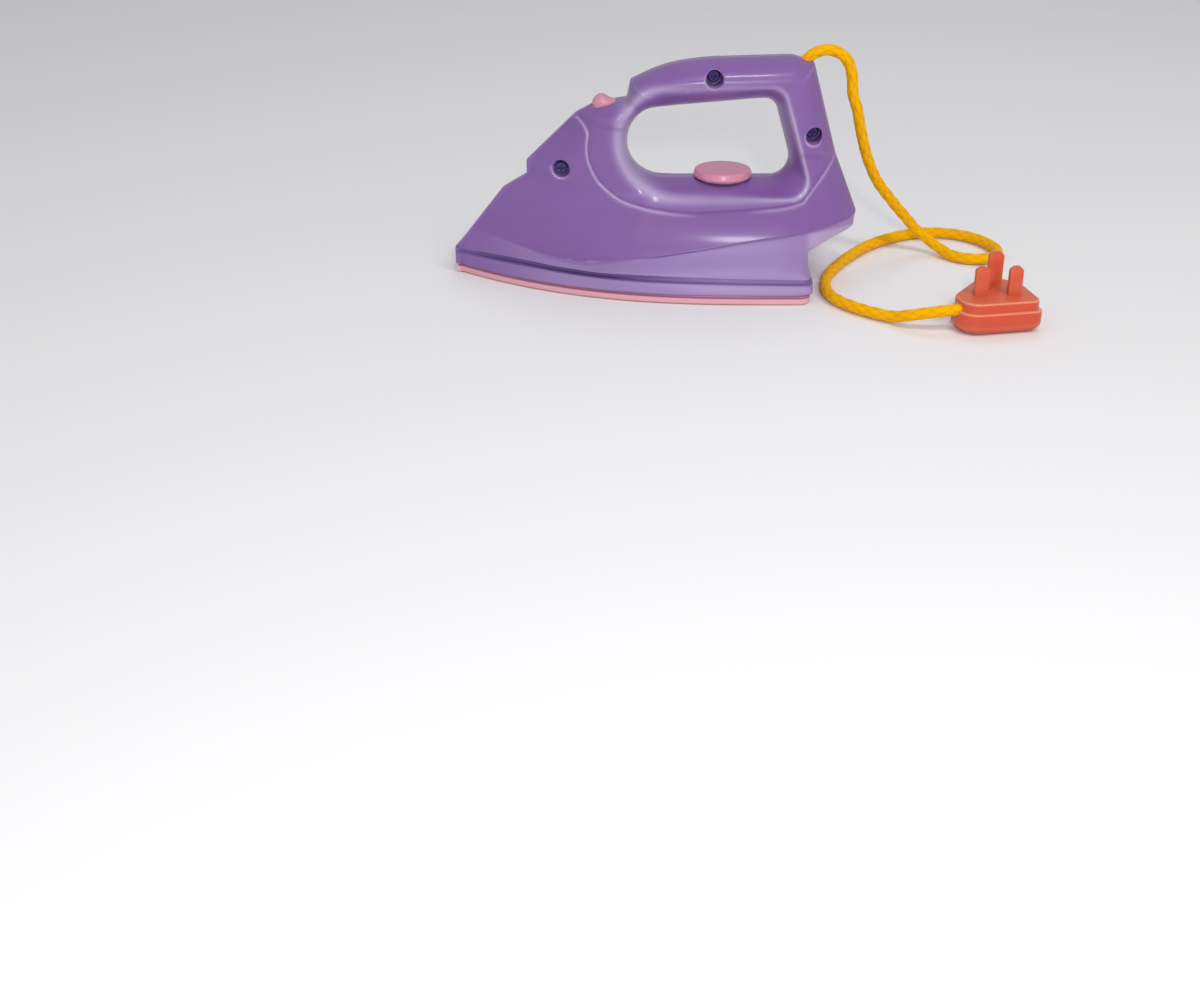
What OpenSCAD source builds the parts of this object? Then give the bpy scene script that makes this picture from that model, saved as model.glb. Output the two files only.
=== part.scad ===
// Toy flat iron. Two half shells meet on the mid-plane and close on a sole plate. A sprung spray
// button sits in front of the handle, a dial turns on the saddle, and a rope cord runs from the
// handle to a three-pin toy plug. The nose points along -X and the sole rests on z = 0.

/* [Body] */
// Length from the nose to the tail
body_l = 180; // [172:1:188]
// Height of the handle above the sole
body_h = 97; // [94:0.5:100]
// Width across the skirt
body_w = 93; // [88:1:98]
// Wall thickness of the half shells
wall = 2.2; // [1.8:0.1:2.4]
// How far the swoosh edge overhangs the hull
swoosh_step = 2.2; // [1.2:0.2:2.6]
// How far the handle moulding lies below the cheeks
moulding_step = 0.7; // [0.3:0.1:1.2]

/* [Sole plate] */
// Thickness of the plate that shows below the skirt
plate_t = 4; // [3:0.5:5]
// How far the plate's edge stands in from the skirt
plate_inset = 0.6; // [0.4:0.1:1.5]
// Length of each tab that the shells grip
tab_l = 10; // [8:1:14]
// Thickness of each tab's stem
tab_t = 3; // [2:0.5:4]

/* [Spray button] */
// Length of the knob along the body
knob_l = 10.4; // [9:0.2:11]
// Width of the knob across the body
knob_w = 11; // [9:0.5:12]
// How far the button travels
press_travel = 2.5; // [1.5:0.5:3]
// Clearance around the knob in its slot
knob_gap = 0.25; // [0.2:0.05:0.4]
// Mean diameter of the return spring
spring_d = 6; // [5.4:0.2:6.4]
// Wire diameter of the return spring
wire_d = 0.6; // [0.5:0.1:0.7]

/* [Dial] */
// Diameter of the dial where it is widest
dial_d = 26.4; // [25:0.2:27.4]
// Diameter of the dial at its top
dial_top_d = 24.6; // [23:0.2:25]
// Diameter of the dial at its foot
dial_foot_d = 23.2; // [22:0.2:24.4]
// Height of the dial above its seat
dial_h = 5.4; // [4.8:0.1:6.2]
// Diameter of the dial's stem
stem_d = 8; // [7:0.5:9]
// Radial clearance of the stem in the saddle
stem_gap = 0.08; // [0.05:0.01:0.1]

/* [Screws] */
// Diameter of the case screws
screw_d = 3; // [2.6:0.1:3.2]
// Diameter of the case screws' heads
head_d = 5.6; // [5:0.2:6]
// Diameter of the recesses over the case screws
recess_d = 7.4; // [6.8:0.2:8]
// Length of the case screws under the head
screw_l = 9.4; // [8.4:0.2:9.6]

/* [Cord] */
// Diameter of the rope cord
cord_d = 5; // [4.6:0.1:5.2]
// Radial clearance of the cord in its holes
cord_gap = 0.2; // [0.15:0.05:0.3]

/* [Plug] */
// Width of the plug along the side that the cord runs beside
plug_w = 35; // [33:1:38]
// Depth of the plug
plug_d = 32; // [31:1:34]
// Height of the plug's lower half
plug_base_h = 9.2; // [8.8:0.2:10]
// Height of the plug's upper half
plug_face_h = 4.4; // [4.2:0.2:5]
// Height of the two front pins
pin_h = 12; // [10:0.5:14]
// Extra height of the rear pin
pin_extra = 2; // [1:0.5:4]

/* [Hidden] */
$fn = 48;
eps = 0.01;
half_w = body_w / 2;
floor_z = plate_t;

// The outlines below are drawn for a body of this length, height and width, and stretch with it.
drawn_l = 180;
drawn_h = 97;
drawn_w = 93;
function sx(x) = x * body_l / drawn_l;
function sz(z) = z * body_h / drawn_h;
function sy(y) = y * body_w / drawn_w;
function stretched(list) = [for (p = list) [sx(p[0]), sz(p[1]), len(p) > 2 ? p[2] : 0]];

// Side view of the body on the mid-plane: length, height and corner radius, from the nose over the
// handle to the heel. The two lowest corners lie on the sole plate.
nose_x = -90;
heel_x = 67.6;
outline = concat(
    [[sx(nose_x), floor_z, 0]],
    stretched([
        [-90, 11.6, 1.2], [-85.6, 16.6, 3], [-67.8, 39, 2], [-57, 45.4, 0.6], [-57, 51.5, 1],
        [-35, 72.6, 4], [-28, 76.2, 3], [-13, 78.4, 0.8], [-11.4, 86.4, 1.5], [3, 93.2, 40],
        [20, 95.9, 60], [58.5, 97, 3], [61.5, 96.2, 1], [67.8, 94.2, 1.5], [79.3, 55.2, 40],
        [90.16, 29.2, 1.5], [88.4, 24.6, 0.8], [66.9, 17.7, 1.5], [66.1, 13, 5], [68, 7.5, 3]
    ]),
    [[sx(heel_x), floor_z, 0]]
);
// Handle opening on the mid-plane, and the crest of the bevel around it
opening = stretched([[-16.95, 44.15, 16.2], [61.8, 44.15, 9], [51.2, 79.6, 6.5], [-9.6, 74.2, 13.5]]);
crest = stretched([[-21.4, 38.1, 25.5], [68.8, 38.1, 7], [53.8, 86.2, 7], [-12.6, 84.6, 19.5]]);
// Edge of the handle moulding, from the front ridge round the saddle to the rear edge
moulding = stretched([
    [-44, 74.5], [-35.5, 72.2], [-31, 69.5], [-29, 65.2], [-29.4, 60], [-28.8, 54.2], [-26, 47.7],
    [-22.6, 43.5], [-15.9, 38.8], [-7, 36.2], [1.4, 34.8], [13.6, 33.9], [28.5, 34.5], [47, 35.6],
    [60.6, 37.2], [66.4, 40.8], [81.2, 60.6]
]);
// Swoosh edge, from the nose to the tail
swoosh = stretched([
    [-92, 22], [-70.1, 18.9], [-58.1, 16.8], [-46.1, 14.8], [-33.1, 14.2], [-21, 15], [-8.9, 16.5],
    [3.3, 18.6], [15.4, 20.6], [27.6, 22.5], [39.8, 24.4], [52, 26], [64.2, 27.2], [86.9, 29.1],
    [95.7, 29.8]
]);
// Upper and lower edge of the channel between the hull and the lip of the skirt
channel_top = stretched([
    [-92, 10.6], [-83, 10.9], [-60, 12], [-42, 12], [-7, 11.3], [18, 10.4], [44, 9.8], [95, 9.2], [250, 8]
]);
channel_low = stretched([
    [-92, 8.8], [-83, 9.2], [-60, 9.7], [-42, 9.5], [-7, 8.5], [18, 7.8], [44, 7.4], [95, 6.8]
]);
// Half width of the cheeks and the handle by height
section = [for (p = [
    [4, 40], [12, 38.6], [16, 37.2], [20, 35.4], [23, 33.7], [26, 31.4], [29, 28.4], [31, 26],
    [33, 23.6], [35, 21.2], [36.5, 19.6], [38.1, 18.2], [41, 17.7], [46, 17.4], [52, 17.2],
    [63, 16.8], [75, 15.8], [86, 14.6], [97, 13.8]
]) [sz(p[0]), sy(p[1])]];
// Front and rear end of the body by height, and how bluntly it closes at each end
front_x = [for (p = [
    [4, -90], [11.6, -90], [16.6, -85.6], [39, -67.8], [45.4, -57], [51.5, -57], [72.6, -35], [76.2, -28]
]) [sz(p[0]), sx(p[1])]];
rear_x = [for (p = [
    [4, 67.6], [17.7, 67.6], [24.6, 88.4], [29.2, 90.16], [55.2, 79.3], [94.2, 67.8], [97, 58.5]
]) [sz(p[0]), sx(p[1])]];
skirt_power = 2.6;
nose_power = [for (p = [
    [12, skirt_power], [30, skirt_power], [50, 3.6], [65, 6], [71, 10], [76, 18]
]) [sz(p[0]), p[1]]];
tail_taper = [for (p = [[13, 0], [23, 0.66], [34, 0.66], [55, 0.42], [94, 0.1]]) [sz(p[0]), p[1]]];
tail_power = 2.4;
widest_x = sx(48);

// Skirt: how far the channel and the hull above it stand in from the lip
lip_low_z = floor_z + 0.8;
channel_in = 2;
channel_step = 0.4;
hull_in = 0.9;
hull_flare = 1.5;

// Outer edge: how much of the half width stands as a flat wall, and the radius of the rounding
floor_edge = [0.985, 0.8];
heel_edge = [0.75, 5];
tail_edge = [0.9, 1.5];
seat_edge = [0.1, 6];
nose_edge = [0.12, 2.5];
handle_edge = [0.06, 9];
round_power = 2;
thin_edge = 1.2;
nose_flat = 2.4;
nose_top = sz(11.6);

// Rows of the half shell keep at least these distances from its outer edge
row_gap = [5.5, 4.8, 3.8, 2.9, 2.2, 1.8, 1.35, 1, 0.75, 0.55, 0.4, 0.2, 0];
crest_gap = 6;
crest_to_line = 1.2;
bevel_steps = 4;
edge_step = 10;
fillet_steps = 4;
small_corner = 1.8;

// Centre of the sweep, inside the opening
hub = [sx(24), sz(60)];
far_off = 1000;

// Case screws: length and height of each, and how far the head's seat lies from the mid-plane
screw_at = [[sx(-41.6), sz(49.2)], [sx(24.3), sz(89.2)], [sx(68), sz(65.1)]];
seat_y = 3.4;
head_h = 2.2;
screw_gap = 0.2;
boss_wall = 1.4;
pilot_boss_d = 7.5;
boss_cover = 0.7;
slot_w = 0.9;
slot_depth = 1.1;

// Sole plate tabs
tab_at = [sx(-45), 0, sx(45)];
tab_head_w = 8;
tab_head_h = 2;
tab_gap = 0.2;

// Spray button: place of the knob, its seat and its spring
knob_x = sx(-22.8);
seat_slope = (sz(78.4) - sz(76.2)) / (sx(-13) - sx(-28));
function seat_z(x) = sz(76.2) + (x - sx(-28)) * seat_slope;
knob_rise = 4.2;
knob_round = 2.4;
// Tongues in front of and behind the knob keep it in its slot
tongue_l = 1.2;
tongue_w = knob_w - 5;
tongue_gap = 0.7;
knob_low_z = seat_z(knob_x - knob_l / 2) - wall - 2.4;
spring_spare = 3.1;
shelf_x = [sx(-31), sx(-18.6)];
shelf_t = 2;
spring_x = knob_x - 0.6;
spring_turns = 6;
shelf_top = knob_low_z - press_travel - spring_turns * wire_d - spring_spare;
spring_sides = 8;
spring_steps = 14;
peg_d = 3.4;
peg_h = 2.4;

// Dial: its centre, its seat in the saddle and what holds it from below
dial_x = sx(30);
saddle_z = sz(44.15);
dial_seat_z = saddle_z - 1.5;
dial_lift = 0.15;
dial_recess_gap = 0.4;
dial_round = 1;
pad_l = dial_d + 3.6;
pad_w = 16;
pad_t = 4.6;
stem_l = pad_t + dial_lift + 0.2;
washer_d = 13;
washer_t = 1.2;
dial_screw_l = 7;

// Cord: its hole in the handle's corner and the knot behind it
exit_at = [sx(64.6), 0, sz(95.2)];
exit_tilt = 44;
exit_dir = [sin(exit_tilt), 0, cos(exit_tilt)];
knot_depth = wall + 2.6;
knot_d = 8.6;
knot_l = 7;

// Plug: near left corner, turn and outline in its own axes, with corner radii
plug_at = [sx(90) + 34.3, -85, 0];
plug_turn = 11;
plug_outline = [
    [0, 0, 8], [plug_w, 0, 4], [plug_w + 0.5, plug_d - 8, 5], [plug_w - 6, plug_d, 6],
    [plug_w - 18, plug_d, 6], [0, 15, 4]
];
plug_centre = [plug_w / 2, plug_d / 2];
plug_ledge = 0.93;
plug_foot = 0.86;
plug_foot_h = 3;
entry_v = 9;
plug_knot_u = 8;
plug_knot_d = cord_d + 1.6;
plug_knot_l = 7;
plug_knot_gap = 0.2;
pin_w = 5.6;
pin_t = 3;
rear_pin_w = 6.2;
pin_chamfer = 1.3;
pin_turn = 6;
front_pins = [[11.5, 13], [plug_w - 9.5, 11]];
rear_pin = [plug_w - 12.5, plug_d - 7];
plug_screw_at = [plug_w / 2 + 3, plug_d / 2 + 2];
plug_screw_seat = plug_base_h - 3.2;
plug_screw_cover = 1.2;
head_gap = 0.5;
c_turn = cos(plug_turn);
s_turn = sin(plug_turn);
function on_plug(u, v, z) = plug_at + [u * c_turn - v * s_turn, u * s_turn + v * c_turn, z];

// Route of the cord between the handle and the plug, by hand along its own lie
cord_sides = 10;
cord_splits = 2;
apart_points = 8;
lie = cord_d / 2 + 0.1;
knot_face = exit_at - exit_dir * knot_depth;
cord_route = concat(
    [knot_face, exit_at - exit_dir * 2, exit_at + exit_dir * 1.5],
    [for (p = [
        [68.2, 0.1, 98], [71, 0.2, 98.9], [74, 0.3, 99.1], [77, 0.6, 98.4], [79.8, 0.9, 96.9],
        [82.1, 1.2, 94.6], [84, 1.8, 91.1], [85.2, 2.4, 85.9], [86, 3.2, 79.5], [88.4, 4, 73],
        [90.4, 6, 65.5], [92.6, 8, 58], [95.2, 10.5, 50.5], [98.6, 13, 43], [102.6, 16, 36],
        [107.7, 19, 29.5], [112.6, 21.8, 23.5], [118, 24.4, 17.4], [123.4, 26.1, 11.4],
        [128.7, 24.9, 7.2], [132.6, 22.1, 4.6], [135.8, 18.3, lie + 0.6], [138.7, 14, lie],
        [143.1, 10, lie], [148, 8.4, lie], [153, 9, lie], [157.6, 12.1, lie], [160.6, 17, lie],
        [161.3, 24, lie], [158.9, 31.5, lie], [155, 38.6, lie], [148.6, 44.4, lie], [140.1, 47.6, lie],
        [128.8, 47.3, lie], [114.4, 39.7, lie], [101.5, 27.6, lie], [92, 14.1, lie], [84.4, 0.9, lie],
        [77.8, -13.9, lie], [74.8, -28.1, lie], [76, -41.9, lie], [82, -52.8, lie], [90.2, -61.2, lie],
        [98.3, -67.8, lie + 0.5], [105.2, -73.9, 6.1], [114.8, -76.8, 8.5]
    ]) [p[0] + sx(90) - 90, p[1], p[2]]],
    [on_plug(-2, entry_v, plug_base_h), on_plug(2, entry_v, plug_base_h),
     on_plug(plug_knot_u, entry_v, plug_base_h)]
);

purple = [0.53, 0.4, 0.66];
pink = [0.85, 0.57, 0.69];
amber = [0.95, 0.68, 0.04];
orange = [0.85, 0.36, 0.2];
steel = [0.6, 0.6, 0.62];

// Flat geometry

function cross2(a, b) = a[0] * b[1] - a[1] * b[0];
function unit(v) = v / norm(v);
function flat(p) = [p[0], p[1]];
function clamp01(t) = min(max(t, 0), 1);
function eased(t) = let (c = clamp01(t)) c * c * (3 - 2 * c);

// Corner of an outline as an arc of its own radius
function corner(prev, here, next, steps) =
    here[2] <= 0 ? [flat(here)] :
    let (p = flat(here), u = unit(flat(prev) - p), v = unit(flat(next) - p),
         half = acos(max(-1, min(1, u * v))) / 2, r = here[2],
         c = p + unit(u + v) * r / sin(half),
         s = p + u * r / tan(half) - c, e = p + v * r / tan(half) - c,
         from = atan2(s[1], s[0]), swing = atan2(cross2(s, e), s * e))
    [for (k = [0 : steps]) c + r * [cos(from + swing * k / steps), sin(from + swing * k / steps)]];

// Outline with all its corners rounded, the small ones in fewer steps where that is asked for
function rounded(list, steps = fillet_steps, small_steps = fillet_steps) =
    let (n = len(list))
    [for (i = [0 : n - 1])
        let (count = list[i][2] < small_corner ? min(steps, small_steps) : steps)
        each corner(list[(i + n - 1) % n], list[i], list[(i + 1) % n], count)];

// Points along a closed outline, no further apart than the step
function walked(list, step) =
    let (n = len(list))
    [for (i = [0 : n - 1])
        let (a = list[i], b = list[(i + 1) % n], m = max(1, ceil(norm(b - a) / step)))
        each [for (k = [0 : m - 1]) a + (b - a) * k / m]];

// Distance from the hub to a line of points in one direction
function reach(list, dir, closed) =
    let (n = len(list), last = closed ? n - 1 : n - 2,
         hits = [for (i = [0 : last])
            let (p = flat(list[i]) - hub, e = flat(list[(i + 1) % n]) - hub - p, den = cross2(dir, e))
            if (abs(den) > 1e-9)
                let (r = cross2(p, e) / den, s = cross2(p, dir) / den)
                if (r > 0 && s >= -1e-6 && s <= 1 + 1e-6) r])
    len(hits) == 0 ? far_off : max(hits);

body_line = rounded(outline, fillet_steps, 2);
opening_line = rounded(opening, 8, 8);
crest_line = rounded(crest, 8, 8);

// Shape of the half shell

function plan(x, z) =
    let (t = max(0, (widest_x - x) / (widest_x - lookup(z, front_x))),
         u = clamp01((x - widest_x) / (lookup(z, rear_x) - widest_x)))
    max(0, 1 - pow(t, lookup(z, nose_power))) * (1 - lookup(z, tail_taper) * pow(u, tail_power));

function edge_at(p) =
    p[1] < floor_z + 0.02 ? floor_edge :
    p[0] > sx(60) && p[1] < sz(17.8) ? heel_edge :
    p[0] > sx(66.5) && p[1] < sz(25.5) ? tail_edge :
    p[0] > sx(-29) && p[0] < sx(-12.5) && p[1] > sz(75.5) ? seat_edge :
    p[0] < sx(-12.5) ? nose_edge : handle_edge;

function rounding(t) = pow(1 - pow(1 - clamp01(t), round_power), 1 / round_power);

// Half width at a point, from the section's own half width there and the rounding of the edge
function half_from(s, p, to_edge, edge, least) =
    max(p[1] < nose_top && least > 0 ? nose_flat : least,
        s * plan(p[0], p[1]) * (edge[0] + (1 - edge[0]) * rounding(to_edge / edge[1])));

// One section of the half shell from the opening to the outer edge: distance from the hub and half
// width of each row, drawn in by the wall thickness for the inner face
function rows(edge_point, inset) =
    let (dir = unit(edge_point - hub), edge = edge_at(edge_point), down = dir[1] < -0.05,
         on_floor = edge_point[1] < floor_z + 0.02,
         rs = norm(edge_point - hub) - (on_floor ? inset / max(0.2, -dir[1]) : inset),
         r0 = reach(opening_line, dir, true) + inset,
         rm = reach(moulding, dir, false), rw = reach(swoosh, dir, false),
         r1 = min(reach(crest_line, dir, true) + inset, rs - crest_gap, rm - crest_to_line),
         rc = reach(channel_top, dir, false), rl = reach(channel_low, dir, false),
         level = function (z) down ? (hub[1] - z) / -dir[1] : far_off,
         at = function (r) hub + r * dir,
         sec = function (r) lookup(at(r)[1], section) - inset,
         recess = moulding_step * eased((rs - row_gap[1] - rm) / 6),
         aim = [rm - 0.5, rm + 0.4, 0, 0, rw, rw + 0.5, 0, rc, rc + channel_step, rl - channel_step, rl,
                level(lip_low_z), rs],
         pos = [for (k = [0 : 12]) min(aim[k], rs - row_gap[k])],
         has_swoosh = rw < rs - row_gap[4],
         overhang = swoosh_step * eased((rs - row_gap[4] - rw) / 5)
             * eased((at(pos[4])[0] - sx(-80)) / sx(35)),
         hull_top = sec(pos[4]) - overhang,
         hull_low = half_w - hull_in - inset,
         flared = function (r) hull_top + (hull_low - hull_top)
             * pow(clamp01((r - pos[5]) / max(rc - pos[5], eps)), hull_flare),
         low = function (r) has_swoosh ? flared(r) : sec(r),
         least = inset > 0 ? 0 : thin_edge,
         full = function (r, s) half_from(s, at(r), rs - r, edge, least),
         h1 = full(r1, sec(r1) - recess),
         cheek = [pos[1], pos[1] + (pos[4] - pos[1]) / 3, pos[1] + (pos[4] - pos[1]) * 2 / 3, pos[4]],
         hull = [pos[5], (pos[5] + pos[7]) / 2, pos[7]],
         skirt_in = [channel_in, channel_in, 0, 0, 0])
    concat(
        [for (k = [0 : bevel_steps]) [r0 + (r1 - r0) * pow(k / bevel_steps, 2), h1 * k / bevel_steps]],
        [for (r = [(r1 + pos[0]) / 2, pos[0]]) [r, full(r, sec(r) - recess)]],
        [for (r = cheek) [r, full(r, sec(r))]],
        [for (r = hull) [r, full(r, low(r))]],
        [for (k = [0 : 4])
            let (r = pos[8 + k], on = k == 4 ? on_floor : aim[8 + k] < rs - eps)
            [r, full(r, on ? half_w - skirt_in[k] - inset : low(r))]],
        [[rs, 0]]
    );

// Half width of the outer face at one point of the side view
function half_at(p) =
    let (dir = unit(p - hub), r = norm(p - hub), rs = reach(body_line, dir, true),
         r0 = reach(opening_line, dir, true), r1 = reach(crest_line, dir, true),
         edge = edge_at(hub + dir * rs), s = lookup(p[1], section) - moulding_step,
         h = half_from(s, p, rs - r, edge, thin_edge))
    r >= r1 ? h : h * sqrt(clamp01((r - r0) / (r1 - r0)));

inner_rows = [18, 14, 12, 10, 8, 6, 4, 2, 0];
shell_rows = 20 + len(inner_rows) + 1;

// Closed section: outer rows, the joint face at the outer edge, then the inner face back again
function section_points(edge_point) =
    let (dir = unit(edge_point - hub), out = rows(edge_point, 0), in = rows(edge_point, wall),
         foot = [in[19][0] + 0.3 * wall, 0],
         ring = concat(out, [foot], [for (k = inner_rows) in[k]]))
    [for (q = ring) [hub[0] + dir[0] * q[0], -max(0, q[1]), hub[1] + dir[1] * q[0]]];

// Half shell on the -Y side, without its bosses and holes
module half_body() {
    edge_points = walked(body_line, edge_step);
    n = len(edge_points);
    m = shell_rows;
    points = [for (p = edge_points) each section_points(p)];
    faces = [for (i = [0 : n - 1], k = [0 : m - 1])
        let (a = i * m + k, b = i * m + (k + 1) % m, c = (i + 1) % n * m + (k + 1) % m,
             d = (i + 1) % n * m + k)
        each [[a, b, c], [a, c, d]]];
    polyhedron(points, faces);
}

// Block between the mid-plane and the inside of the wall, over a closed outline in the side view
module wall_block(list) {
    n = len(list);
    mid = [for (axis = [0, 1]) let (vals = [for (p = list) p[axis]]) vals * [for (v = vals) 1] / n];
    foot = [for (p = list) [p[0], 0, p[1]]];
    top = [for (p = list) [p[0], -max(1, half_at(p) - boss_cover), p[1]]];
    caps = [[mid[0], 0, mid[1]], [mid[0], -max(1, half_at(mid) - boss_cover), mid[1]]];
    polyhedron(concat(foot, top, caps), [for (i = [0 : n - 1])
        let (j = (i + 1) % n)
        each [[i, i + n, j + n], [i, j + n, j], [2 * n, i, j], [2 * n + 1, j + n, i + n]]]);
}

function ring_at(c, d, n = 20) =
    [for (k = [0 : n - 1]) c + d / 2 * [cos(k * 360 / n), sin(k * 360 / n)]];

module along_y(p, y) {
    translate([p[0], y, p[1]]) rotate([-90, 0, 0]) children();
}

// The half of a shape that lies on the -Y side
module near_half() {
    intersection() {
        children();
        translate([-body_l, -2 * body_w, -eps]) cube([2 * body_l, 2 * body_w, 2 * body_h]);
    }
}

// What both half shells carry inside: dial pad and spring shelf
module inner_works() {
    near_half() {
        translate([dial_x - pad_l / 2, -pad_w / 2, dial_seat_z - pad_t]) cube([pad_l, pad_w, pad_t]);
        translate([spring_x, 0, shelf_top - eps]) cylinder(d = peg_d, h = peg_h);
    }
    wall_block([
        [shelf_x[0], shelf_top - shelf_t], [shelf_x[1], shelf_top - shelf_t],
        [shelf_x[1], shelf_top], [(shelf_x[0] + shelf_x[1]) / 2, shelf_top], [shelf_x[0], shelf_top]
    ]);
}

// What is cut from both half shells: dial seat, button slot, cord hole and the slots for the tabs
module shared_cuts() {
    translate([dial_x, 0, dial_seat_z]) cylinder(d = dial_d + 2 * dial_recess_gap, h = 12);
    translate([dial_x, 0, dial_seat_z - pad_t - 1]) cylinder(d = stem_d + 2 * stem_gap, h = pad_t + 2);
    translate([knob_x, 0, seat_z(knob_x) - wall - 4])
        linear_extrude(12)
            square([knob_l + 2 * knob_gap, knob_w + 2 * knob_gap], center = true);
    translate(exit_at) rotate([0, exit_tilt, 0])
        translate([0, 0, -wall - 3]) cylinder(d = cord_d + 2 * cord_gap, h = wall + 9);
    for (x = tab_at)
        translate([x, 0, floor_z + wall / 2])
            cube([tab_l + 2 * tab_gap, tab_t + 2 * tab_gap, 2 * wall], center = true);
}

module left_shell() {
    color(purple) difference() {
        union() {
            half_body();
            inner_works();
            for (p = screw_at) wall_block(ring_at(p, recess_d + 2 * boss_wall));
        }
        shared_cuts();
        for (p = screw_at) {
            along_y(p, -seat_y - body_w) cylinder(d = recess_d, h = body_w);
            along_y(p, -seat_y - 1) cylinder(d = screw_d + 2 * screw_gap, h = seat_y + 2);
        }
    }
}

module right_shell() {
    color(purple) difference() {
        mirror([0, 1, 0]) union() {
            half_body();
            inner_works();
            for (p = screw_at) wall_block(ring_at(p, pilot_boss_d));
        }
        shared_cuts();
        for (p = screw_at) along_y(p, -1) cylinder(d = screw_d, h = screw_l - seat_y + 1);
    }
}

// Half width of the skirt along the body, and the plan outline of the sole plate
function skirt_half(x) =
    let (t = max(0, (widest_x - x) / (widest_x - sx(nose_x))))
    max(nose_flat, half_w * (1 - pow(t, skirt_power)));
plate_front = sx(nose_x) + plate_inset;
plate_rear = sx(heel_x) - 2 * plate_inset;
plate_round = 5;
plate_side = [for (k = [0 : 24])
    let (x = plate_front + (plate_rear - plate_round - plate_front) * k / 24)
    [x, skirt_half(x) - plate_inset]];
plate_corner = [for (k = [1 : 5])
    let (a = 90 - k * 18)
    [plate_rear - plate_round + plate_round * cos(a),
     skirt_half(plate_rear) - plate_inset - plate_round + plate_round * sin(a)]];

module sole_plate() {
    edge = concat(plate_side, plate_corner);
    far = [for (k = [len(edge) - 1 : -1 : 0]) [edge[k][0], -edge[k][1]]];
    color(pink) {
        linear_extrude(plate_t) polygon(concat(edge, far));
        for (x = tab_at) translate([x - tab_l / 2, 0, 0]) {
            translate([0, -tab_t / 2, plate_t - eps]) cube([tab_l, tab_t, wall + tab_gap + tab_head_h]);
            translate([0, -tab_head_w / 2, floor_z + wall + tab_gap]) cube([tab_l, tab_head_w, tab_head_h]);
        }
    }
}

// Pan-head screw along +Z with its head below z = 0 and a crossed recess in it
module pan_screw(d, head, high, length) {
    difference() {
        union() {
            translate([0, 0, -high]) cylinder(d1 = head * 0.8, d2 = head, h = high * 0.45);
            translate([0, 0, -high * 0.55]) cylinder(d = head, h = high * 0.55);
            cylinder(d = d, h = length);
        }
        for (a = [0, 90]) rotate(a)
            translate([0, 0, -high]) cube([head * 0.6, slot_w, 2 * slot_depth], center = true);
    }
}

module case_screws() {
    color(steel) for (p = screw_at) along_y(p, -seat_y) pan_screw(screw_d, head_d, head_h, screw_l);
}

// Side view of the knob: a steep front, a rounded crest and a ramp for the thumb
module spray_button() {
    front = knob_x - knob_l / 2;
    rear = knob_x + knob_l / 2;
    low = seat_z(front);
    crest_z = low + knob_rise;
    ramp_z = seat_z(rear) + 0.6;
    profile = rounded([
        [front, knob_low_z, 0], [rear, knob_low_z, 0], [rear, ramp_z, 0.6], [rear - 2, ramp_z + 0.6, 3],
        [rear - 4.6, crest_z, 1], [front + 4.6, crest_z, 2], [front, crest_z - 1.6, 1.6]
    ]);
    under = wall + tongue_gap;
    tongues = [
        [front - tongue_l, knob_low_z], [rear + tongue_l, knob_low_z],
        [rear + tongue_l, seat_z(rear + tongue_l) - under],
        [front - tongue_l, seat_z(front - tongue_l) - under]
    ];
    color(pink) {
        intersection() {
            rotate([90, 0, 0]) linear_extrude(knob_w, center = true) polygon(profile);
            translate([knob_x, 0, knob_low_z - 1]) linear_extrude(2 * (crest_z - knob_low_z))
                polygon(rounded([for (s = [[-1, -1], [1, -1], [1, 1], [-1, 1]])
                    [s[0] * knob_l / 2, s[1] * knob_w / 2, knob_round]]));
        }
        rotate([90, 0, 0]) linear_extrude(tongue_w, center = true) polygon(tongues);
        translate([spring_x, 0, knob_low_z - peg_h]) cylinder(d = peg_d, h = peg_h + 1);
    }
}

// Tube of one diameter along a line of points
function side_of(t) = abs(t[2]) > 0.9 ? unit(cross(t, [0, 1, 0])) : unit(cross(t, [0, 0, 1]));
function carried(frame, t) = unit(frame - t * (frame * t));
function frames(dirs, i = 0, before = undef) =
    i >= len(dirs) ? [] :
    let (f = i == 0 ? side_of(dirs[0]) : carried(before, dirs[i]))
    concat([f], frames(dirs, i + 1, f));

module tube(path, d, sides) {
    n = len(path);
    dirs = [for (i = [0 : n - 1]) unit(path[min(i + 1, n - 1)] - path[max(i - 1, 0)])];
    across = frames(dirs);
    points = [for (i = [0 : n - 1], k = [0 : sides - 1])
        let (a = k * 360 / sides, up = cross(dirs[i], across[i]))
        path[i] + d / 2 * (across[i] * cos(a) + up * sin(a))];
    walls = [for (i = [0 : n - 2], k = [0 : sides - 1])
        let (a = i * sides + k, b = i * sides + (k + 1) % sides)
        each [[a, a + sides, b + sides], [a, b + sides, b]]];
    caps = [[for (k = [0 : sides - 1]) k], [for (k = [sides - 1 : -1 : 0]) (n - 1) * sides + k]];
    polyhedron(points, concat(walls, caps));
}

// Least gap between parts of a tube that lie at least this many points apart along it
function least_gap(path, d, apart) =
    min([for (i = [0 : len(path) - 1 - apart], j = [i + apart : len(path) - 1]) norm(path[i] - path[j])]) - d;

module spray_spring() {
    rise = knob_low_z - shelf_top - wire_d;
    count = spring_turns * spring_steps;
    path = [for (i = [0 : count])
        let (a = i * 360 / spring_steps)
        [spring_x + spring_d / 2 * cos(a), spring_d / 2 * sin(a), shelf_top + wire_d / 2 + rise * i / count]];
    echo("least gap in spray_spring, mm", least_gap(path, wire_d, spring_steps / 2));
    color(steel) tube(path, wire_d, spring_sides);
}

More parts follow.
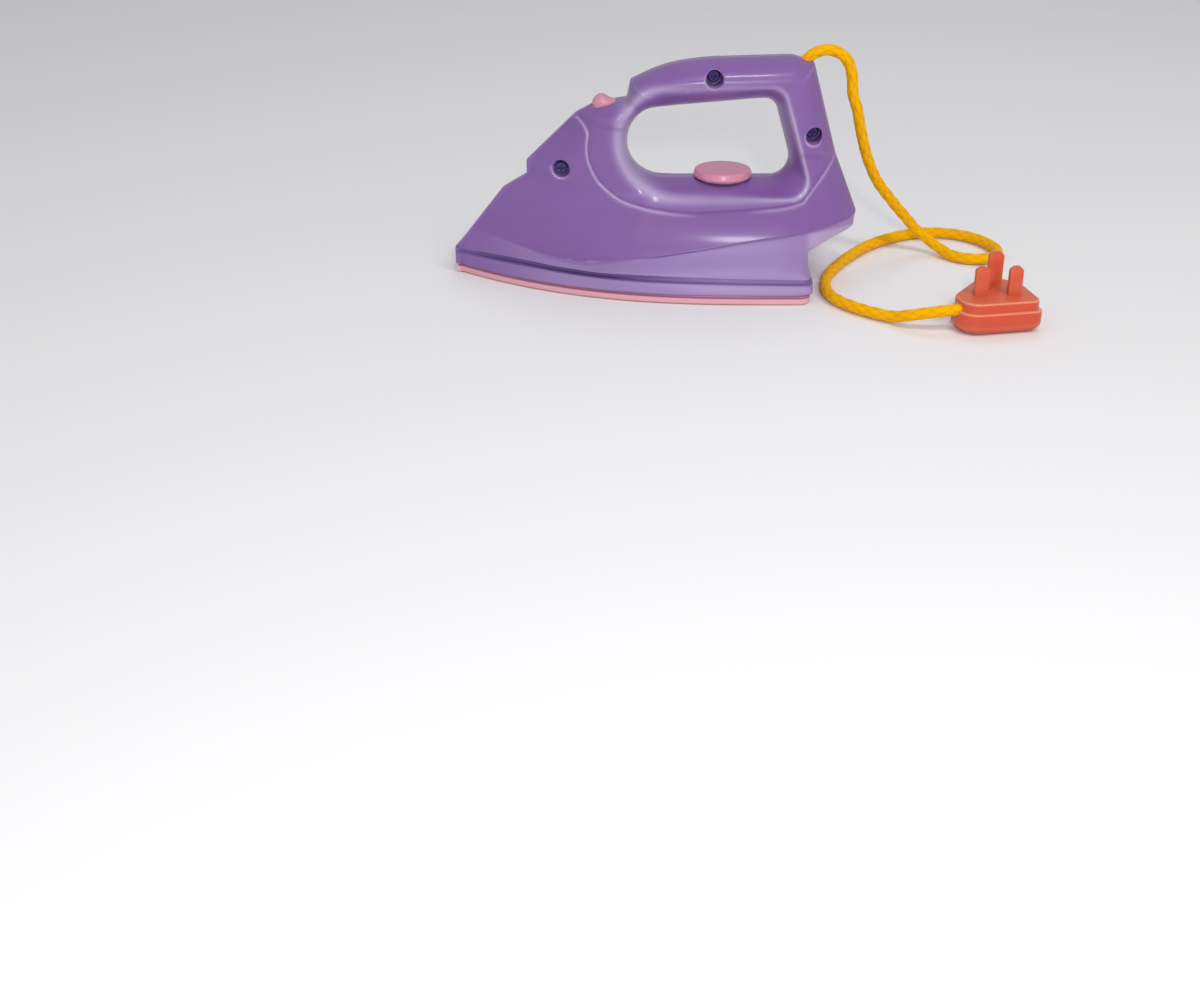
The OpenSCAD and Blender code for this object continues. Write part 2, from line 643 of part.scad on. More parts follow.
module dial() {
    low = dial_seat_z + dial_lift;
    top = low + dial_h;
    side = rounded([
        [0, low, 0], [dial_foot_d / 2, low, 0.5], [dial_d / 2, low + dial_h * 0.3, 1.2],
        [dial_top_d / 2, top - 0.2, dial_round], [0, top + 0.2, 0]
    ]);
    color(pink) difference() {
        union() {
            translate([dial_x, 0, 0]) rotate_extrude() polygon(side);
            translate([dial_x, 0, low - stem_l]) cylinder(d = stem_d, h = stem_l + 1);
        }
        translate([dial_x, 0, low - stem_l - 1]) cylinder(d = screw_d, h = dial_screw_l - washer_t + 1);
    }
}

stem_end_z = dial_seat_z + dial_lift - stem_l;

module dial_washer() {
    color(steel) translate([dial_x, 0, stem_end_z - washer_t]) difference() {
        cylinder(d = washer_d, h = washer_t);
        translate([0, 0, -1]) cylinder(d = screw_d + 2 * screw_gap, h = washer_t + 2);
    }
}

module dial_screw() {
    color(steel) translate([dial_x, 0, stem_end_z - washer_t])
        pan_screw(screw_d, head_d, head_h, dial_screw_l);
}

// Smooth line through the route's points
function between(a, b, c, d, t) =
    ((-a + 3 * b - 3 * c + d) * t * t * t + (2 * a - 5 * b + 4 * c - d) * t * t + (c - a) * t + 2 * b) / 2;
function smoothed(list, splits) =
    let (n = len(list))
    concat([for (i = [0 : n - 2], k = [0 : splits - 1])
        between(list[max(i - 1, 0)], list[i], list[i + 1], list[min(i + 2, n - 1)], k / splits)],
        [list[n - 1]]);

module cord() {
    path = smoothed(cord_route, cord_splits);
    echo("least gap in cord, mm", least_gap(path, cord_d, apart_points));
    color(amber) tube(path, cord_d, cord_sides);
}

// Overhand knot as the barrel that it fills, with its flat end at z = 0
module knot(d, length) {
    waist = 0.72;
    rotate_extrude() polygon(rounded([
        [0, 0, 0], [d / 2 * waist, 0, 0.6], [d / 2, -length * 0.3, 2], [d / 2, -length * 0.7, 2],
        [d / 2 * waist, -length, 0.6], [0, -length, 0]
    ]));
}

module cord_knot() {
    color(amber) translate(knot_face) rotate([0, exit_tilt, 0]) knot(knot_d, knot_l);
}

// Plug

module plug_place() {
    translate(plug_at) rotate(plug_turn) children();
}

module plug_shape(share) {
    translate(plug_centre) scale(share) translate(-plug_centre) polygon(rounded(plug_outline, 6, 6));
}

module plug_cord_cut() {
    translate([-1, entry_v, plug_base_h]) rotate([0, 90, 0])
        cylinder(d = cord_d + 2 * cord_gap, h = plug_knot_u + 2);
    translate([plug_knot_u - plug_knot_gap, entry_v, plug_base_h]) rotate([0, 90, 0])
        cylinder(d = plug_knot_d + 2 * plug_knot_gap, h = plug_knot_l + 2 * plug_knot_gap);
}

module plug_base() {
    color(orange) plug_place() difference() {
        union() {
            hull() {
                linear_extrude(eps) plug_shape(plug_foot);
                translate([0, 0, plug_foot_h]) linear_extrude(eps) plug_shape(1);
            }
            translate([0, 0, plug_foot_h]) linear_extrude(plug_base_h - plug_foot_h) plug_shape(1);
        }
        plug_cord_cut();
        translate([plug_screw_at[0], plug_screw_at[1], -1]) {
            cylinder(d = screw_d + 2 * screw_gap, h = plug_base_h + 2);
            cylinder(d = head_d + 2 * head_gap, h = plug_screw_seat + 1);
        }
    }
}

module pin(p, w, high) {
    shoulder = high - pin_chamfer;
    translate([p[0], p[1], plug_base_h + plug_face_h - eps]) rotate([90, 0, -pin_turn])
        linear_extrude(pin_t, center = true) polygon([
            [-w / 2, 0], [w / 2, 0], [w / 2, shoulder], [w / 2 - pin_chamfer, high],
            [-w / 2 + pin_chamfer, high], [-w / 2, shoulder]
        ]);
}

module plug_face() {
    color(orange) plug_place() {
        difference() {
            translate([0, 0, plug_base_h]) linear_extrude(plug_face_h) plug_shape(plug_ledge);
            plug_cord_cut();
            translate([plug_screw_at[0], plug_screw_at[1], plug_base_h - 1])
                cylinder(d = screw_d, h = plug_face_h - plug_screw_cover + 1);
        }
        for (p = front_pins) pin(p, pin_w, pin_h);
        pin(rear_pin, rear_pin_w, pin_h + pin_extra);
    }
}

module plug_knot() {
    color(amber) plug_place() translate([plug_knot_u, entry_v, plug_base_h])
        rotate([0, -90, 0]) knot(plug_knot_d, plug_knot_l);
}

module plug_screw() {
    length = plug_base_h + plug_face_h - plug_screw_cover - plug_screw_seat;
    color(steel) plug_place() translate([plug_screw_at[0], plug_screw_at[1], plug_screw_seat])
        pan_screw(screw_d, head_d, head_h, length);
}

left_shell();
right_shell();
sole_plate();
case_screws();
spray_button();
spray_spring();
dial();
dial_washer();
dial_screw();
cord();
cord_knot();
plug_base();
plug_face();
plug_knot();
plug_screw();
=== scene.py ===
import math

import bmesh
import bpy
import numpy as np
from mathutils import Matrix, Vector


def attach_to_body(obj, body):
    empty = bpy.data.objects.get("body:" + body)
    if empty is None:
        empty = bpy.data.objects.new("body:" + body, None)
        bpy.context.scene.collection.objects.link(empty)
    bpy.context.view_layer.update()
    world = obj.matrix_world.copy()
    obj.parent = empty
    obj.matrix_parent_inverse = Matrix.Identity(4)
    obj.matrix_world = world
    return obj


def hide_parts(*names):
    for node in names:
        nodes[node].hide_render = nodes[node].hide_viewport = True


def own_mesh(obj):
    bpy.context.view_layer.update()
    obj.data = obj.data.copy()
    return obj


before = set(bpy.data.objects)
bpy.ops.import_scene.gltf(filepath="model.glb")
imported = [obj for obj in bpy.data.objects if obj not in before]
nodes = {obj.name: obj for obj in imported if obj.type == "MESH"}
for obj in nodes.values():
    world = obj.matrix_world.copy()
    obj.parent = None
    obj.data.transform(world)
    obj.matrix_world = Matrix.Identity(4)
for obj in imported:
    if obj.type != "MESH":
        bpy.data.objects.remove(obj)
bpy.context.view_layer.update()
scene = bpy.context.scene
mm = 0.001


def report(stage):
    print("toy iron:", stage)


def linkObject(name, data):
    obj = bpy.data.objects.new(name, data)
    scene.collection.objects.link(obj)
    return obj


def attach(piece, body, node, slot):
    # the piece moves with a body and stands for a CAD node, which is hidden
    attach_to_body(piece, body)
    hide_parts(node)


# Camera at the photograph's own framing: place in mm, tilt in degrees, focal length in pixels of a
# picture 1200 wide, clip in metres
cameraSetting = dict(place=(-24.494, -700.0, 241.03), pitch=26.908, focal=1603.416, frameWidth=1200, sensor=36,
                     clip=(0.01, 50))


def makeCamera(setting):
    data = bpy.data.cameras.new("photoCamera")
    data.sensor_width = setting["sensor"]
    data.lens = setting["sensor"] * setting["focal"] / setting["frameWidth"]
    data.clip_start, data.clip_end = setting["clip"]
    camera = linkObject("photoCamera", data)
    camera.location = Vector(setting["place"]) * mm
    camera.rotation_euler = (math.radians(90 - setting["pitch"]), 0, 0)
    scene.camera = camera


makeCamera(cameraSetting)


# Small mesh helpers, all in mm until the mesh is made

def meshObject(name, points, faces, smoothAngle=38):
    mesh = bpy.data.meshes.new(name)
    mesh.from_pydata((np.asarray(points, float) * mm).tolist(), [], [list(map(int, f)) for f in faces])
    mesh.update()
    work = bmesh.new()
    work.from_mesh(mesh)
    bmesh.ops.recalc_face_normals(work, faces=work.faces)
    work.to_mesh(mesh)
    work.free()
    obj = linkObject(name, mesh)
    smoothOver(obj, smoothAngle)
    return obj


def smoothOver(obj, angle):
    for poly in obj.data.polygons:
        poly.use_smooth = True
    obj.data.set_sharp_from_angle(angle=math.radians(angle))


def gridFaces(rings, sides, closedRings=False):
    faces = []
    for i in range(rings if closedRings else rings - 1):
        j = (i + 1) % rings
        for k in range(sides):
            n = (k + 1) % sides
            faces.append((i * sides + k, i * sides + n, j * sides + n, j * sides + k))
    return faces


def lofted(name, rings, smoothAngle=38):
    # closed solid through rings of equal length, capped at both ends
    sides = len(rings[0])
    points = np.concatenate([np.asarray(ring, float) for ring in rings])
    faces = gridFaces(len(rings), sides)
    faces.append(list(range(sides))[::-1])
    faces.append([(len(rings) - 1) * sides + k for k in range(sides)])
    return meshObject(name, points, faces, smoothAngle)


def fullTurn(sides):
    return np.arange(sides) * 2 * math.pi / sides


def circle(centre, radius, axisA, axisB, sides):
    turn = fullTurn(sides)
    return (np.asarray(centre, float) + radius * np.outer(np.cos(turn), axisA)
            + radius * np.outer(np.sin(turn), axisB))


def sideAxes(along):
    # two axes square to a direction and to each other
    side = np.cross(along, (0, 1, 0) if abs(along[1]) < 0.9 else (1, 0, 0))
    side /= np.linalg.norm(side)
    return side, np.cross(along, side)


def rod(name, start, end, radius, sides=64):
    start, end = np.asarray(start, float), np.asarray(end, float)
    axes = sideAxes((end - start) / np.linalg.norm(end - start))
    return lofted(name, [circle(place, radius, *axes, sides) for place in (start, end)])


def block(name, low, high):
    x0, y0, z0 = low
    x1, y1, z1 = high
    return lofted(name, [[(x0, y0, z), (x1, y0, z), (x1, y1, z), (x0, y1, z)] for z in (z0, z1)])


def combine(obj, steps, smoothAngle=38):
    # runs a list of (operation, other object) on a closed mesh and keeps the result
    for operation, other in steps:
        change = obj.modifiers.new("join", "BOOLEAN")
        change.operation = operation
        change.solver = "MANIFOLD"
        change.object = other
    bpy.context.view_layer.update()
    result = bpy.data.meshes.new_from_object(obj.evaluated_get(bpy.context.evaluated_depsgraph_get()))
    obj.modifiers.clear()
    obj.data = result
    result.name = obj.name
    for _, other in steps:
        bpy.data.objects.remove(other)
    smoothOver(obj, smoothAngle)
    return obj


def mark(piece, name, values):
    # a value for each point, which the finish reads
    piece.data.attributes.new(name, "FLOAT", "POINT").data.foreach_set("value", values.astype(np.float32))


def places(piece):
    # x, y and z of all points in mm
    flat = np.empty(len(piece.data.vertices) * 3)
    piece.data.vertices.foreach_get("co", flat)
    return flat.reshape(-1, 3).T / mm


def softTable(table, blur, step=0.1):
    # straight lines through a table, level beyond both ends, with the corners blurred
    x, y = np.array(table, float).T
    fine = np.arange(x[0] - 4 * blur, x[-1] + 4 * blur, step)
    spread = np.exp(-0.5 * (np.arange(-3 * blur, 3 * blur + step / 2, step) / blur) ** 2)
    half = len(spread) // 2
    before, after = fine[0] + np.arange(-half, 0) * step, fine[-1] + np.arange(1, half + 1) * step
    line = np.interp(np.concatenate([before, fine, after]), x, y)
    soft = np.convolve(line, spread / spread.sum(), "same")[half:-half]
    return lambda q: np.interp(q, fine, soft)


def splined(points, splits):
    # smooth line through all the points
    p = np.asarray(points, float)
    p = np.vstack([p[:1], p, p[-1:]])
    out = []
    for i in range(1, len(p) - 2):
        a, b, c, d = p[i - 1:i + 3]
        for k in range(splits):
            t = k / splits
            bent = (-a + 3 * b - 3 * c + d) * t**3 + (2 * a - 5 * b + 4 * c - d) * t**2
            out.append((bent + (c - a) * t + 2 * b) / 2)
    return np.array(out + [p[-2]])


def eased(t):
    t = np.clip(t, 0, 1)
    return t * t * (3 - 2 * t)


def roundedLine(corners, steps):
    # closed outline with an arc of its own radius at each corner
    out = []
    count = len(corners)
    for i, (x, z, r) in enumerate(corners):
        p = np.array((x, z), float)
        a = np.array(corners[i - 1][:2], float)
        b = np.array(corners[(i + 1) % count][:2], float)
        if r <= 0:
            out.append(p)
            continue
        u, v = (a - p) / np.linalg.norm(a - p), (b - p) / np.linalg.norm(b - p)
        half = math.acos(np.clip(u @ v, -1, 1)) / 2
        c = p + (u + v) / np.linalg.norm(u + v) * r / math.sin(half)
        s, e = p + u * r / math.tan(half) - c, p + v * r / math.tan(half) - c
        first = math.atan2(s[1], s[0])
        swing = math.atan2(s[0] * e[1] - s[1] * e[0], s @ e)
        for k in range(steps + 1):
            turn = first + swing * k / steps
            out.append(c + r * np.array((math.cos(turn), math.sin(turn))))
    return np.array(out)


def walked(line, step):
    # closed line with points no further apart than the step
    out = []
    for a, b in zip(line, np.roll(line, -1, 0)):
        count = max(1, math.ceil(np.linalg.norm(b - a) / step))
        out += [a + (b - a) * k / count for k in range(count)]
    return np.array(out)


def thinned(line, least):
    # drops points that lie closer than this to the one before
    kept = [line[0]]
    for p in line[1:]:
        if np.linalg.norm(p - kept[-1]) >= least:
            kept.append(p)
    return np.array(kept)


# Rope cord: the same route as the solid, in mm, from the knot in the handle to the plug
cordSetting = dict(diameter=5.0, gap=0.2, exitAt=(64.6, 0, 95.2), exitTilt=44, holeDepth=5.2, holeOut=6, lift=0.1,
                   knotDepth=4.8, knotSize=(8.6, 7.0),
                   carriers=4, pick=3.6, relief=0.34, wander=((0.35, 0.83, 2), (0.3, 0.37, -1)), crossing=0.45,
                   ringStep=0.4, sides=48)
# the plug that the rope ends in, with u and v along its width and depth
plugSetting = dict(at=(124.3, -85, 0), turn=11, width=35, depth=32, baseHeight=9.2, faceHeight=4.4, footHeight=3,
                   foot=0.86, ledge=0.93, baseEdge=0.55, faceEdge=0.8, baseHighlight=(0.6, 0.5), faceHighlight=(0.35, 0.3),
                   entryV=9, knotU=8, knotSize=(6.6, 7.0), gap=0.2, screwAt=(20.5, 18),
                   pins=((11.5, 13), (25.5, 11)), rearPin=(22.5, 25), pinHeight=12, pinExtra=2, pinWidth=5.6,
                   rearPinWidth=6.2, pinThick=3, pinTurn=6)


def onPlug(u, v, z):
    setting = plugSetting
    c, s = math.cos(math.radians(setting["turn"])), math.sin(math.radians(setting["turn"]))
    x, y, low = setting["at"]
    return np.array((x + u * c - v * s, y + u * s + v * c, low + z))


def cordExit():
    # where the rope leaves the handle, and which way
    tilt = math.radians(cordSetting["exitTilt"])
    return np.array(cordSetting["exitAt"], float), np.array((math.sin(tilt), 0, math.cos(tilt)))


def cordRoute(setting):
    leave, out = cordExit()
    lie = setting["diameter"] / 2 + setting["lift"]
    high, entry = plugSetting["baseHeight"], plugSetting["entryV"]
    return [
        leave - out * setting["knotDepth"], leave - out * 2, leave + out * 1.5,
        (68.2, 0.1, 98), (71, 0.2, 98.9), (74, 0.3, 99.1), (77, 0.6, 98.4), (79.8, 0.9, 96.9), (82.1, 1.2, 94.6),
        (84, 1.8, 91.1), (85.2, 2.4, 85.9), (86, 3.2, 79.5), (88.4, 4, 73), (90.4, 6, 65.5), (92.6, 8, 58),
        (95.2, 10.5, 50.5), (98.6, 13, 43), (102.6, 16, 36), (107.7, 19, 29.5), (112.6, 21.8, 23.5),
        (118, 24.4, 17.4), (123.4, 26.1, 11.4), (128.7, 24.9, 7.2), (132.6, 22.1, 4.6), (135.8, 18.3, lie + 0.6),
        (138.7, 14, lie), (143.1, 10, lie), (148, 8.4, lie), (153, 9, lie), (157.6, 12.1, lie), (160.6, 17, lie),
        (161.3, 24, lie), (158.9, 31.5, lie), (155, 38.6, lie), (148.6, 44.4, lie), (140.1, 47.6, lie),
        (128.8, 47.3, lie), (114.4, 39.7, lie), (101.5, 27.6, lie), (92, 14.1, lie), (84.4, 0.9, lie),
        (77.8, -13.9, lie), (74.8, -28.1, lie), (76, -41.9, lie), (82, -52.8, lie), (90.2, -61.2, lie),
        (98.3, -67.8, lie + 0.5), (105.2, -73.9, 6.1), (114.8, -76.8, 8.5),
        onPlug(-2, entry, high), onPlug(2, entry, high), onPlug(plugSetting["knotU"], entry, high),
    ]


def evenly(path, step):
    # points at equal steps along a line, and how far along each lies
    gaps = np.linalg.norm(np.diff(path, axis=0), axis=1)
    along = np.concatenate([[0], np.cumsum(gaps)])
    count = int(round(along[-1] / step))
    want = np.linspace(0, along[-1], count + 1)
    return np.stack([np.interp(want, along, path[:, k]) for k in range(3)], 1), want


def carriedAxes(path):
    # two axes square to a line, carried along it without a twist
    along = np.gradient(path, axis=0)
    along /= np.linalg.norm(along, axis=1)[:, None]
    side = np.cross(along[0], (0, 1, 0))
    sides = []
    for t in along:
        side = side - t * (side @ t)
        side /= np.linalg.norm(side)
        sides.append(side)
    sides = np.array(sides)
    return sides, np.cross(along, sides)


def braidHeight(around, along, setting):
    # height of a soft plain braid, 0 in the crossings' corners and 1 on the crown of a strand
    along = along + sum(size * np.sin(along * pace + turns * around) for size, pace, turns in setting["wander"])
    across, onward = around * setting["carriers"] / (2 * math.pi), along / setting["pick"] / 2
    u, v = across + onward, across - onward
    over = (np.floor(u) + np.floor(v)) % 2
    crossU, crossV = u % 1 - 0.5, v % 1 - 0.5
    # the strand on top runs along v where over is 0, and along u where it is 1
    across = np.where(over == 0, crossU, crossV)
    lengthways = np.where(over == 0, crossV, crossU)
    crown = np.sqrt(np.clip(1 - (2 * across) ** 2, 0, 1))
    dive = np.clip(1 - (2 * np.abs(lengthways)) ** 2.2, 0, 1)
    return crown * (setting["crossing"] + (1 - setting["crossing"]) * dive)


def ropeTube(name, path, along, setting):
    sideA, sideB = carriedAxes(path)
    turn = fullTurn(setting["sides"])
    height = braidHeight(turn[None, :], along[:, None], setting)
    r = setting["diameter"] / 2 - setting["relief"] * (1 - height)
    points = (path[:, None, :] + r[:, :, None] * (np.cos(turn)[None, :, None] * sideA[:, None, :]
                                                 + np.sin(turn)[None, :, None] * sideB[:, None, :]))
    rope = lofted(name, list(points), 75)
    mark(rope, "lay", height.reshape(-1))
    return rope


cordPoints, cordAlong = evenly(splined(cordRoute(cordSetting), 24), cordSetting["ringStep"])
cordPiece = ropeTube("ropeCord", cordPoints, cordAlong, cordSetting)
attach(cordPiece, "iron", "cord", "rope")
report("camera and rope, %.0f mm long" % cordAlong[-1])


# Half shells. Each is swept about a hub inside the handle opening: a ray runs from the hub to each point
# of the outline, and rows along the ray carry the half width. Side view and tables in mm.
shellSetting = dict(
    hub=(24.0, 60.0), floor=4.0, halfWidth=46.5, noseX=-90.0, wall=2.2, widestX=48.0, tailPower=2.4, skirtPower=2.6,
    swooshStep=2.2, swooshStart=(-80, 35), swooshEnd=(88, 13), frontBlend=22, channelIn=2.7, channelFade=3,
    hullIn=0.9, hullFlare=1.5, hullReach=1.6, ledgeRound=0.75, hullRound=0.5, lipRound=0.55, roundPower=2.0,
    thinEdge=1.2, noseFlat=2.4, noseTop=11.6, cheekBlur=2.6, hullBlur=1.8, edgeBlend=1.6,
    seam=0.12, walkStep=0.9, leastStep=0.4, innerRows=16)
# the crest round the opening keeps off the other lines and is softer at one direction, in degrees
crestSetting = dict(fromOutline=3.6, fromMoulding=1.2, fromOpening=1.5, blur=6, softTurn=153, softWide=14,
                    softBlur=18)
mouldingSetting = dict(step=1.0, rise=1.1, riseMore=1.4, riseFrom=61, riseOver=9, outside=3, endGap=0.4, endOver=2.4,
                       squareBlur=3, endBlur=4)
bodyCorners = [
    (-90, 4, 0), (-90, 11.6, 1.2), (-85.6, 16.6, 3), (-67.8, 39, 2), (-57, 45.4, 0.6), (-57, 51.5, 1), (-35, 72.6, 8),
    (-28, 76.2, 4), (-13, 78.4, 0.8), (-11.4, 86.4, 1.5), (3, 93.2, 58), (20, 95.9, 110), (58.5, 97, 3),
    (61.5, 96.2, 1), (67.8, 94.2, 1.5), (79.3, 55.2, 60), (90.16, 29.2, 1.5), (88.4, 24.6, 0.8), (66.9, 17.7, 1.5),
    (66.1, 13, 5), (68, 7.5, 3), (67.6, 4, 0)]
openingCorners = [(-16.95, 44.15, 16.2), (61.8, 44.15, 9), (51.2, 79.6, 6.5), (-9.6, 74.2, 13.5)]
crestCorners = [(-21.4, 38.1, 25.5), (68.8, 38.1, 7), (53.8, 86.2, 7), (-12.6, 84.6, 19.5)]
# how broadly the crest rounds over, by direction from the hub in degrees
crestRounds = [(-180, 5.5), (-150, 5.0), (-115, 3.4), (-70, 2.8), (-40, 1.4), (-20, 0.8), (25, 0.8),
               (50, 1.6), (90, 3.0), (130, 4.0), (160, 5.5), (180, 5.5)]
mouldingLine = splined([
    (-44, 74.5), (-35.5, 72.2), (-31, 69.5), (-29, 65.2), (-29.4, 60), (-28.8, 54.2), (-26, 47.7), (-22.6, 43.5),
    (-15.9, 38.8), (-7, 36.2), (1.4, 34.8), (13.6, 33.9), (28.5, 34.5), (47, 35.6), (60.6, 37.2), (66.4, 40.8),
    (81.2, 60.6)], 16)
swooshLine = splined([
    (-92, 22), (-70.1, 18.9), (-58.1, 16.8), (-46.1, 14.8), (-33.1, 14.2), (-21, 15), (-8.9, 16.5), (3.3, 18.6),
    (15.4, 20.6), (27.6, 22.5), (39.8, 24.4), (52, 26), (64.2, 27.2), (86.9, 29.1), (95.7, 29.8)], 6)
channelTop = splined([
    (-92, 10.8), (-83, 11.6), (-60, 12.8), (-42, 12.6), (-7, 12), (18, 11.4), (44, 10.9), (95, 10.3), (250, 9)], 6)
channelLow = splined([
    (-92, 8.9), (-83, 9.3), (-60, 9.8), (-42, 9.5), (-7, 8.8), (18, 8.5), (44, 8.2), (95, 7.7)], 6)
halfWidthByHeight = softTable([
    (4, 40), (12, 38.6), (16, 37.2), (20, 35.4), (23, 33.7), (26, 31.4), (29, 28.4), (31, 26), (33, 23.6), (35, 21.2),
    (36.5, 19.6), (38.1, 18.2), (41, 17.7), (46, 17.4), (52, 17.2), (63, 16.8), (75, 15.8), (86, 14.6),
    (97, 13.8)], 1.3)
frontTable = [(4, -90), (11.6, -90), (16.6, -85.6), (39, -67.8), (45.4, -57), (51.5, -57), (72.6, -35), (76.2, -28)]
frontByHeight, broadFront = softTable(frontTable, 0.5), softTable(frontTable, 6.0)
rearByHeight = softTable([
    (4, 67.6), (17.7, 67.6), (24.6, 88.4), (29.2, 90.16), (55.2, 79.3), (94.2, 67.8), (97, 58.5)], 1.4)
nosePower = softTable([(12, 2.6), (30, 2.6), (50, 3.6), (65, 6), (71, 10), (76, 18)], 4.0)
tailTaper = softTable([(13, 0), (23, 0.66), (34, 0.66), (55, 0.42), (94, 0.1)], 3.0)
hub = np.array(shellSetting["hub"])
farOff = 1000.0
bodyLine = roundedLine(bodyCorners, 8)
openingLine = roundedLine(openingCorners, 100)
crestLine = roundedLine(crestCorners, 100)


def reach(line, dirs, closed):
    # distance from the hub to a line in each direction, the furthest where it is met more than once
    start = line if closed else line[:-1]
    end = np.roll(line, -1, 0) if closed else line[1:]
    p, e = start - hub, end - start
    den = dirs[:, 0:1] * e[:, 1] - dirs[:, 1:2] * e[:, 0]
    den = np.where(np.abs(den) < 1e-9, 1e-9, den)
    r = (p[:, 0] * e[:, 1] - p[:, 1] * e[:, 0]) / den
    s = (p[:, 0] * dirs[:, 1:2] - p[:, 1] * dirs[:, 0:1]) / den
    hit = (r > 0) & (s >= -1e-6) & (s <= 1 + 1e-6)
    best = np.where(hit, r, -1).max(1)
    return np.where(best > 0, best, farOff)


# edge of the outline by place, first row that fits: x and z between, share of the half width that stands as a
# flat wall, and radius of the rounding
edgeRows = [
    (-farOff, farOff, -farOff, shellSetting["floor"] + 0.02, 0.985, 0.8), (60, farOff, -farOff, 17.8, 0.75, 5),
    (66.5, farOff, -farOff, 25.5, 0.9, 1.5), (-29, -12.5, 75.5, farOff, 0.1, 6),
    (-farOff, -12.5, -farOff, farOff, 0.12, 2.5), (-farOff, farOff, -farOff, farOff, 0.06, 9)]


def edgeShape(p):
    for x0, x1, z0, z1, share, radius in edgeRows:
        if x0 < p[0] < x1 and z0 < p[1] < z1:
            return share, radius


def blurRing(values, blur):
    # blur along a closed ring of samples, with the blur given in samples
    count = int(3 * blur) + 1
    spread = np.exp(-0.5 * (np.arange(-count, count + 1) / blur) ** 2)
    ring = np.concatenate([values[-count:], values, values[:count]])
    return np.convolve(ring, spread / spread.sum(), "valid")


# edge shape along the outline, blurred over a few mm so that it changes gradually
outlineFine = walked(bodyLine, 1.2)
edgeAlong = np.array([edgeShape(p) for p in outlineFine])
edgeAlong = np.stack([blurRing(edgeAlong[:, k], 1.6) for k in (0, 1)], 1)


def fromEdge(x, z):
    # distance from points of the side view to the outline, with the edge shape at the nearest place
    points = np.stack([x.ravel(), z.ravel()], 1)
    after = np.roll(outlineFine, -1, 0) - outlineFine
    length = (after ** 2).sum(1)
    out = np.empty((len(points), 3))
    batch = 4000
    for a in range(0, len(points), batch):
        part = points[a:a + batch]
        relX, relZ = part[:, 0:1] - outlineFine[:, 0], part[:, 1:2] - outlineFine[:, 1]
        t = np.clip((relX * after[:, 0] + relZ * after[:, 1]) / length, 0, 1)
        d = np.sqrt((relX - t * after[:, 0]) ** 2 + (relZ - t * after[:, 1]) ** 2)
        least = d.min(1, keepdims=True)
        weight = np.exp((least - d) / shellSetting["edgeBlend"]) * np.sqrt(length)
        out[a:a + batch, 0:1] = least
        out[a:a + batch, 1:] = weight @ edgeAlong / weight.sum(1, keepdims=True)
    return [out[:, k].reshape(x.shape) for k in range(3)]


# what changes with the direction from the hub, on a fine ring
ringTurn = np.radians(np.arange(-180, 180, 0.25))


def ringTables():
    crest, moulding = crestSetting, mouldingSetting
    dirs = np.stack([np.cos(ringTurn), np.sin(ringTurn)], 1)
    rs, r0, rm = reach(bodyLine, dirs, True), reach(openingLine, dirs, True), reach(mouldingLine, dirs, False)
    rim = np.minimum(reach(crestLine, dirs, True), rs - crest["fromOutline"])
    rim = np.minimum(rim, rm - crest["fromMoulding"])
    soft = np.exp(-((np.degrees(ringTurn) - crest["softTurn"]) / crest["softWide"]) ** 2)
    rim = blurRing(rim, crest["blur"]) * (1 - soft) + blurRing(rim, crest["softBlur"]) * soft
    # how squarely a ray meets the moulding line, with the outline's jumps folded small
    line = np.minimum(rm, rs + moulding["outside"])
    square = line / np.hypot(line, np.gradient(np.unwrap(line), ringTurn))
    recess = moulding["step"] * eased((rs - moulding["endGap"] - rm) / moulding["endOver"])
    turns, rounds = np.array(crestRounds, float).T
    return dict(r1=np.maximum(rim, r0 + crest["fromOpening"]), square=blurRing(square, moulding["squareBlur"]),
                recess=blurRing(recess, moulding["endBlur"]),
                crestRound=np.interp(np.degrees(ringTurn), turns, rounds))


ringShape = ringTables()


def castRays(turn):
    dirs = np.stack([np.cos(turn), np.sin(turn)], 1)
    ray = dict(dirs=dirs, rs=reach(bodyLine, dirs, True), r0=reach(openingLine, dirs, True),
               rm=reach(mouldingLine, dirs, False), rw=reach(swooshLine, dirs, False),
               rc=reach(channelTop, dirs, False), rl=reach(channelLow, dirs, False))
    wrapped = (turn + math.pi) % (2 * math.pi) - math.pi
    for key, values in ringShape.items():
        ray[key] = np.interp(wrapped, ringTurn, values, period=2 * math.pi)
    ray["onFloor"] = hub[1] + dirs[:, 1] * ray["rs"] < shellSetting["floor"] + 0.02
    return ray


def planShare(x, z):
    # share of the half width that is left along the body, from the widest place to both ends
    setting = shellSetting
    front = frontByHeight(z)
    front = front + (broadFront(z) - front) * eased((x - front) / setting["frontBlend"])
    t = np.maximum(0, (setting["widestX"] - x) / (setting["widestX"] - front))
    u = np.clip((x - setting["widestX"]) / (rearByHeight(z) - setting["widestX"]), 0, 1)
    return np.maximum(0, 1 - t ** nosePower(z)) * (1 - tailTaper(z) * u ** setting["tailPower"])


def along(line):
    # height of a line at x
    return lambda x: np.interp(x, line[:, 0], line[:, 1])


swooshAt, channelTopAt, channelLowAt = along(swooshLine), along(channelTop), along(channelLow)


def skirtShare(x):
    # share of the full half width that the skirt has left towards the nose
    setting = shellSetting
    t = np.maximum(0, (setting["widestX"] - x) / (setting["widestX"] - setting["noseX"]))
    return 1 - t ** setting["skirtPower"]


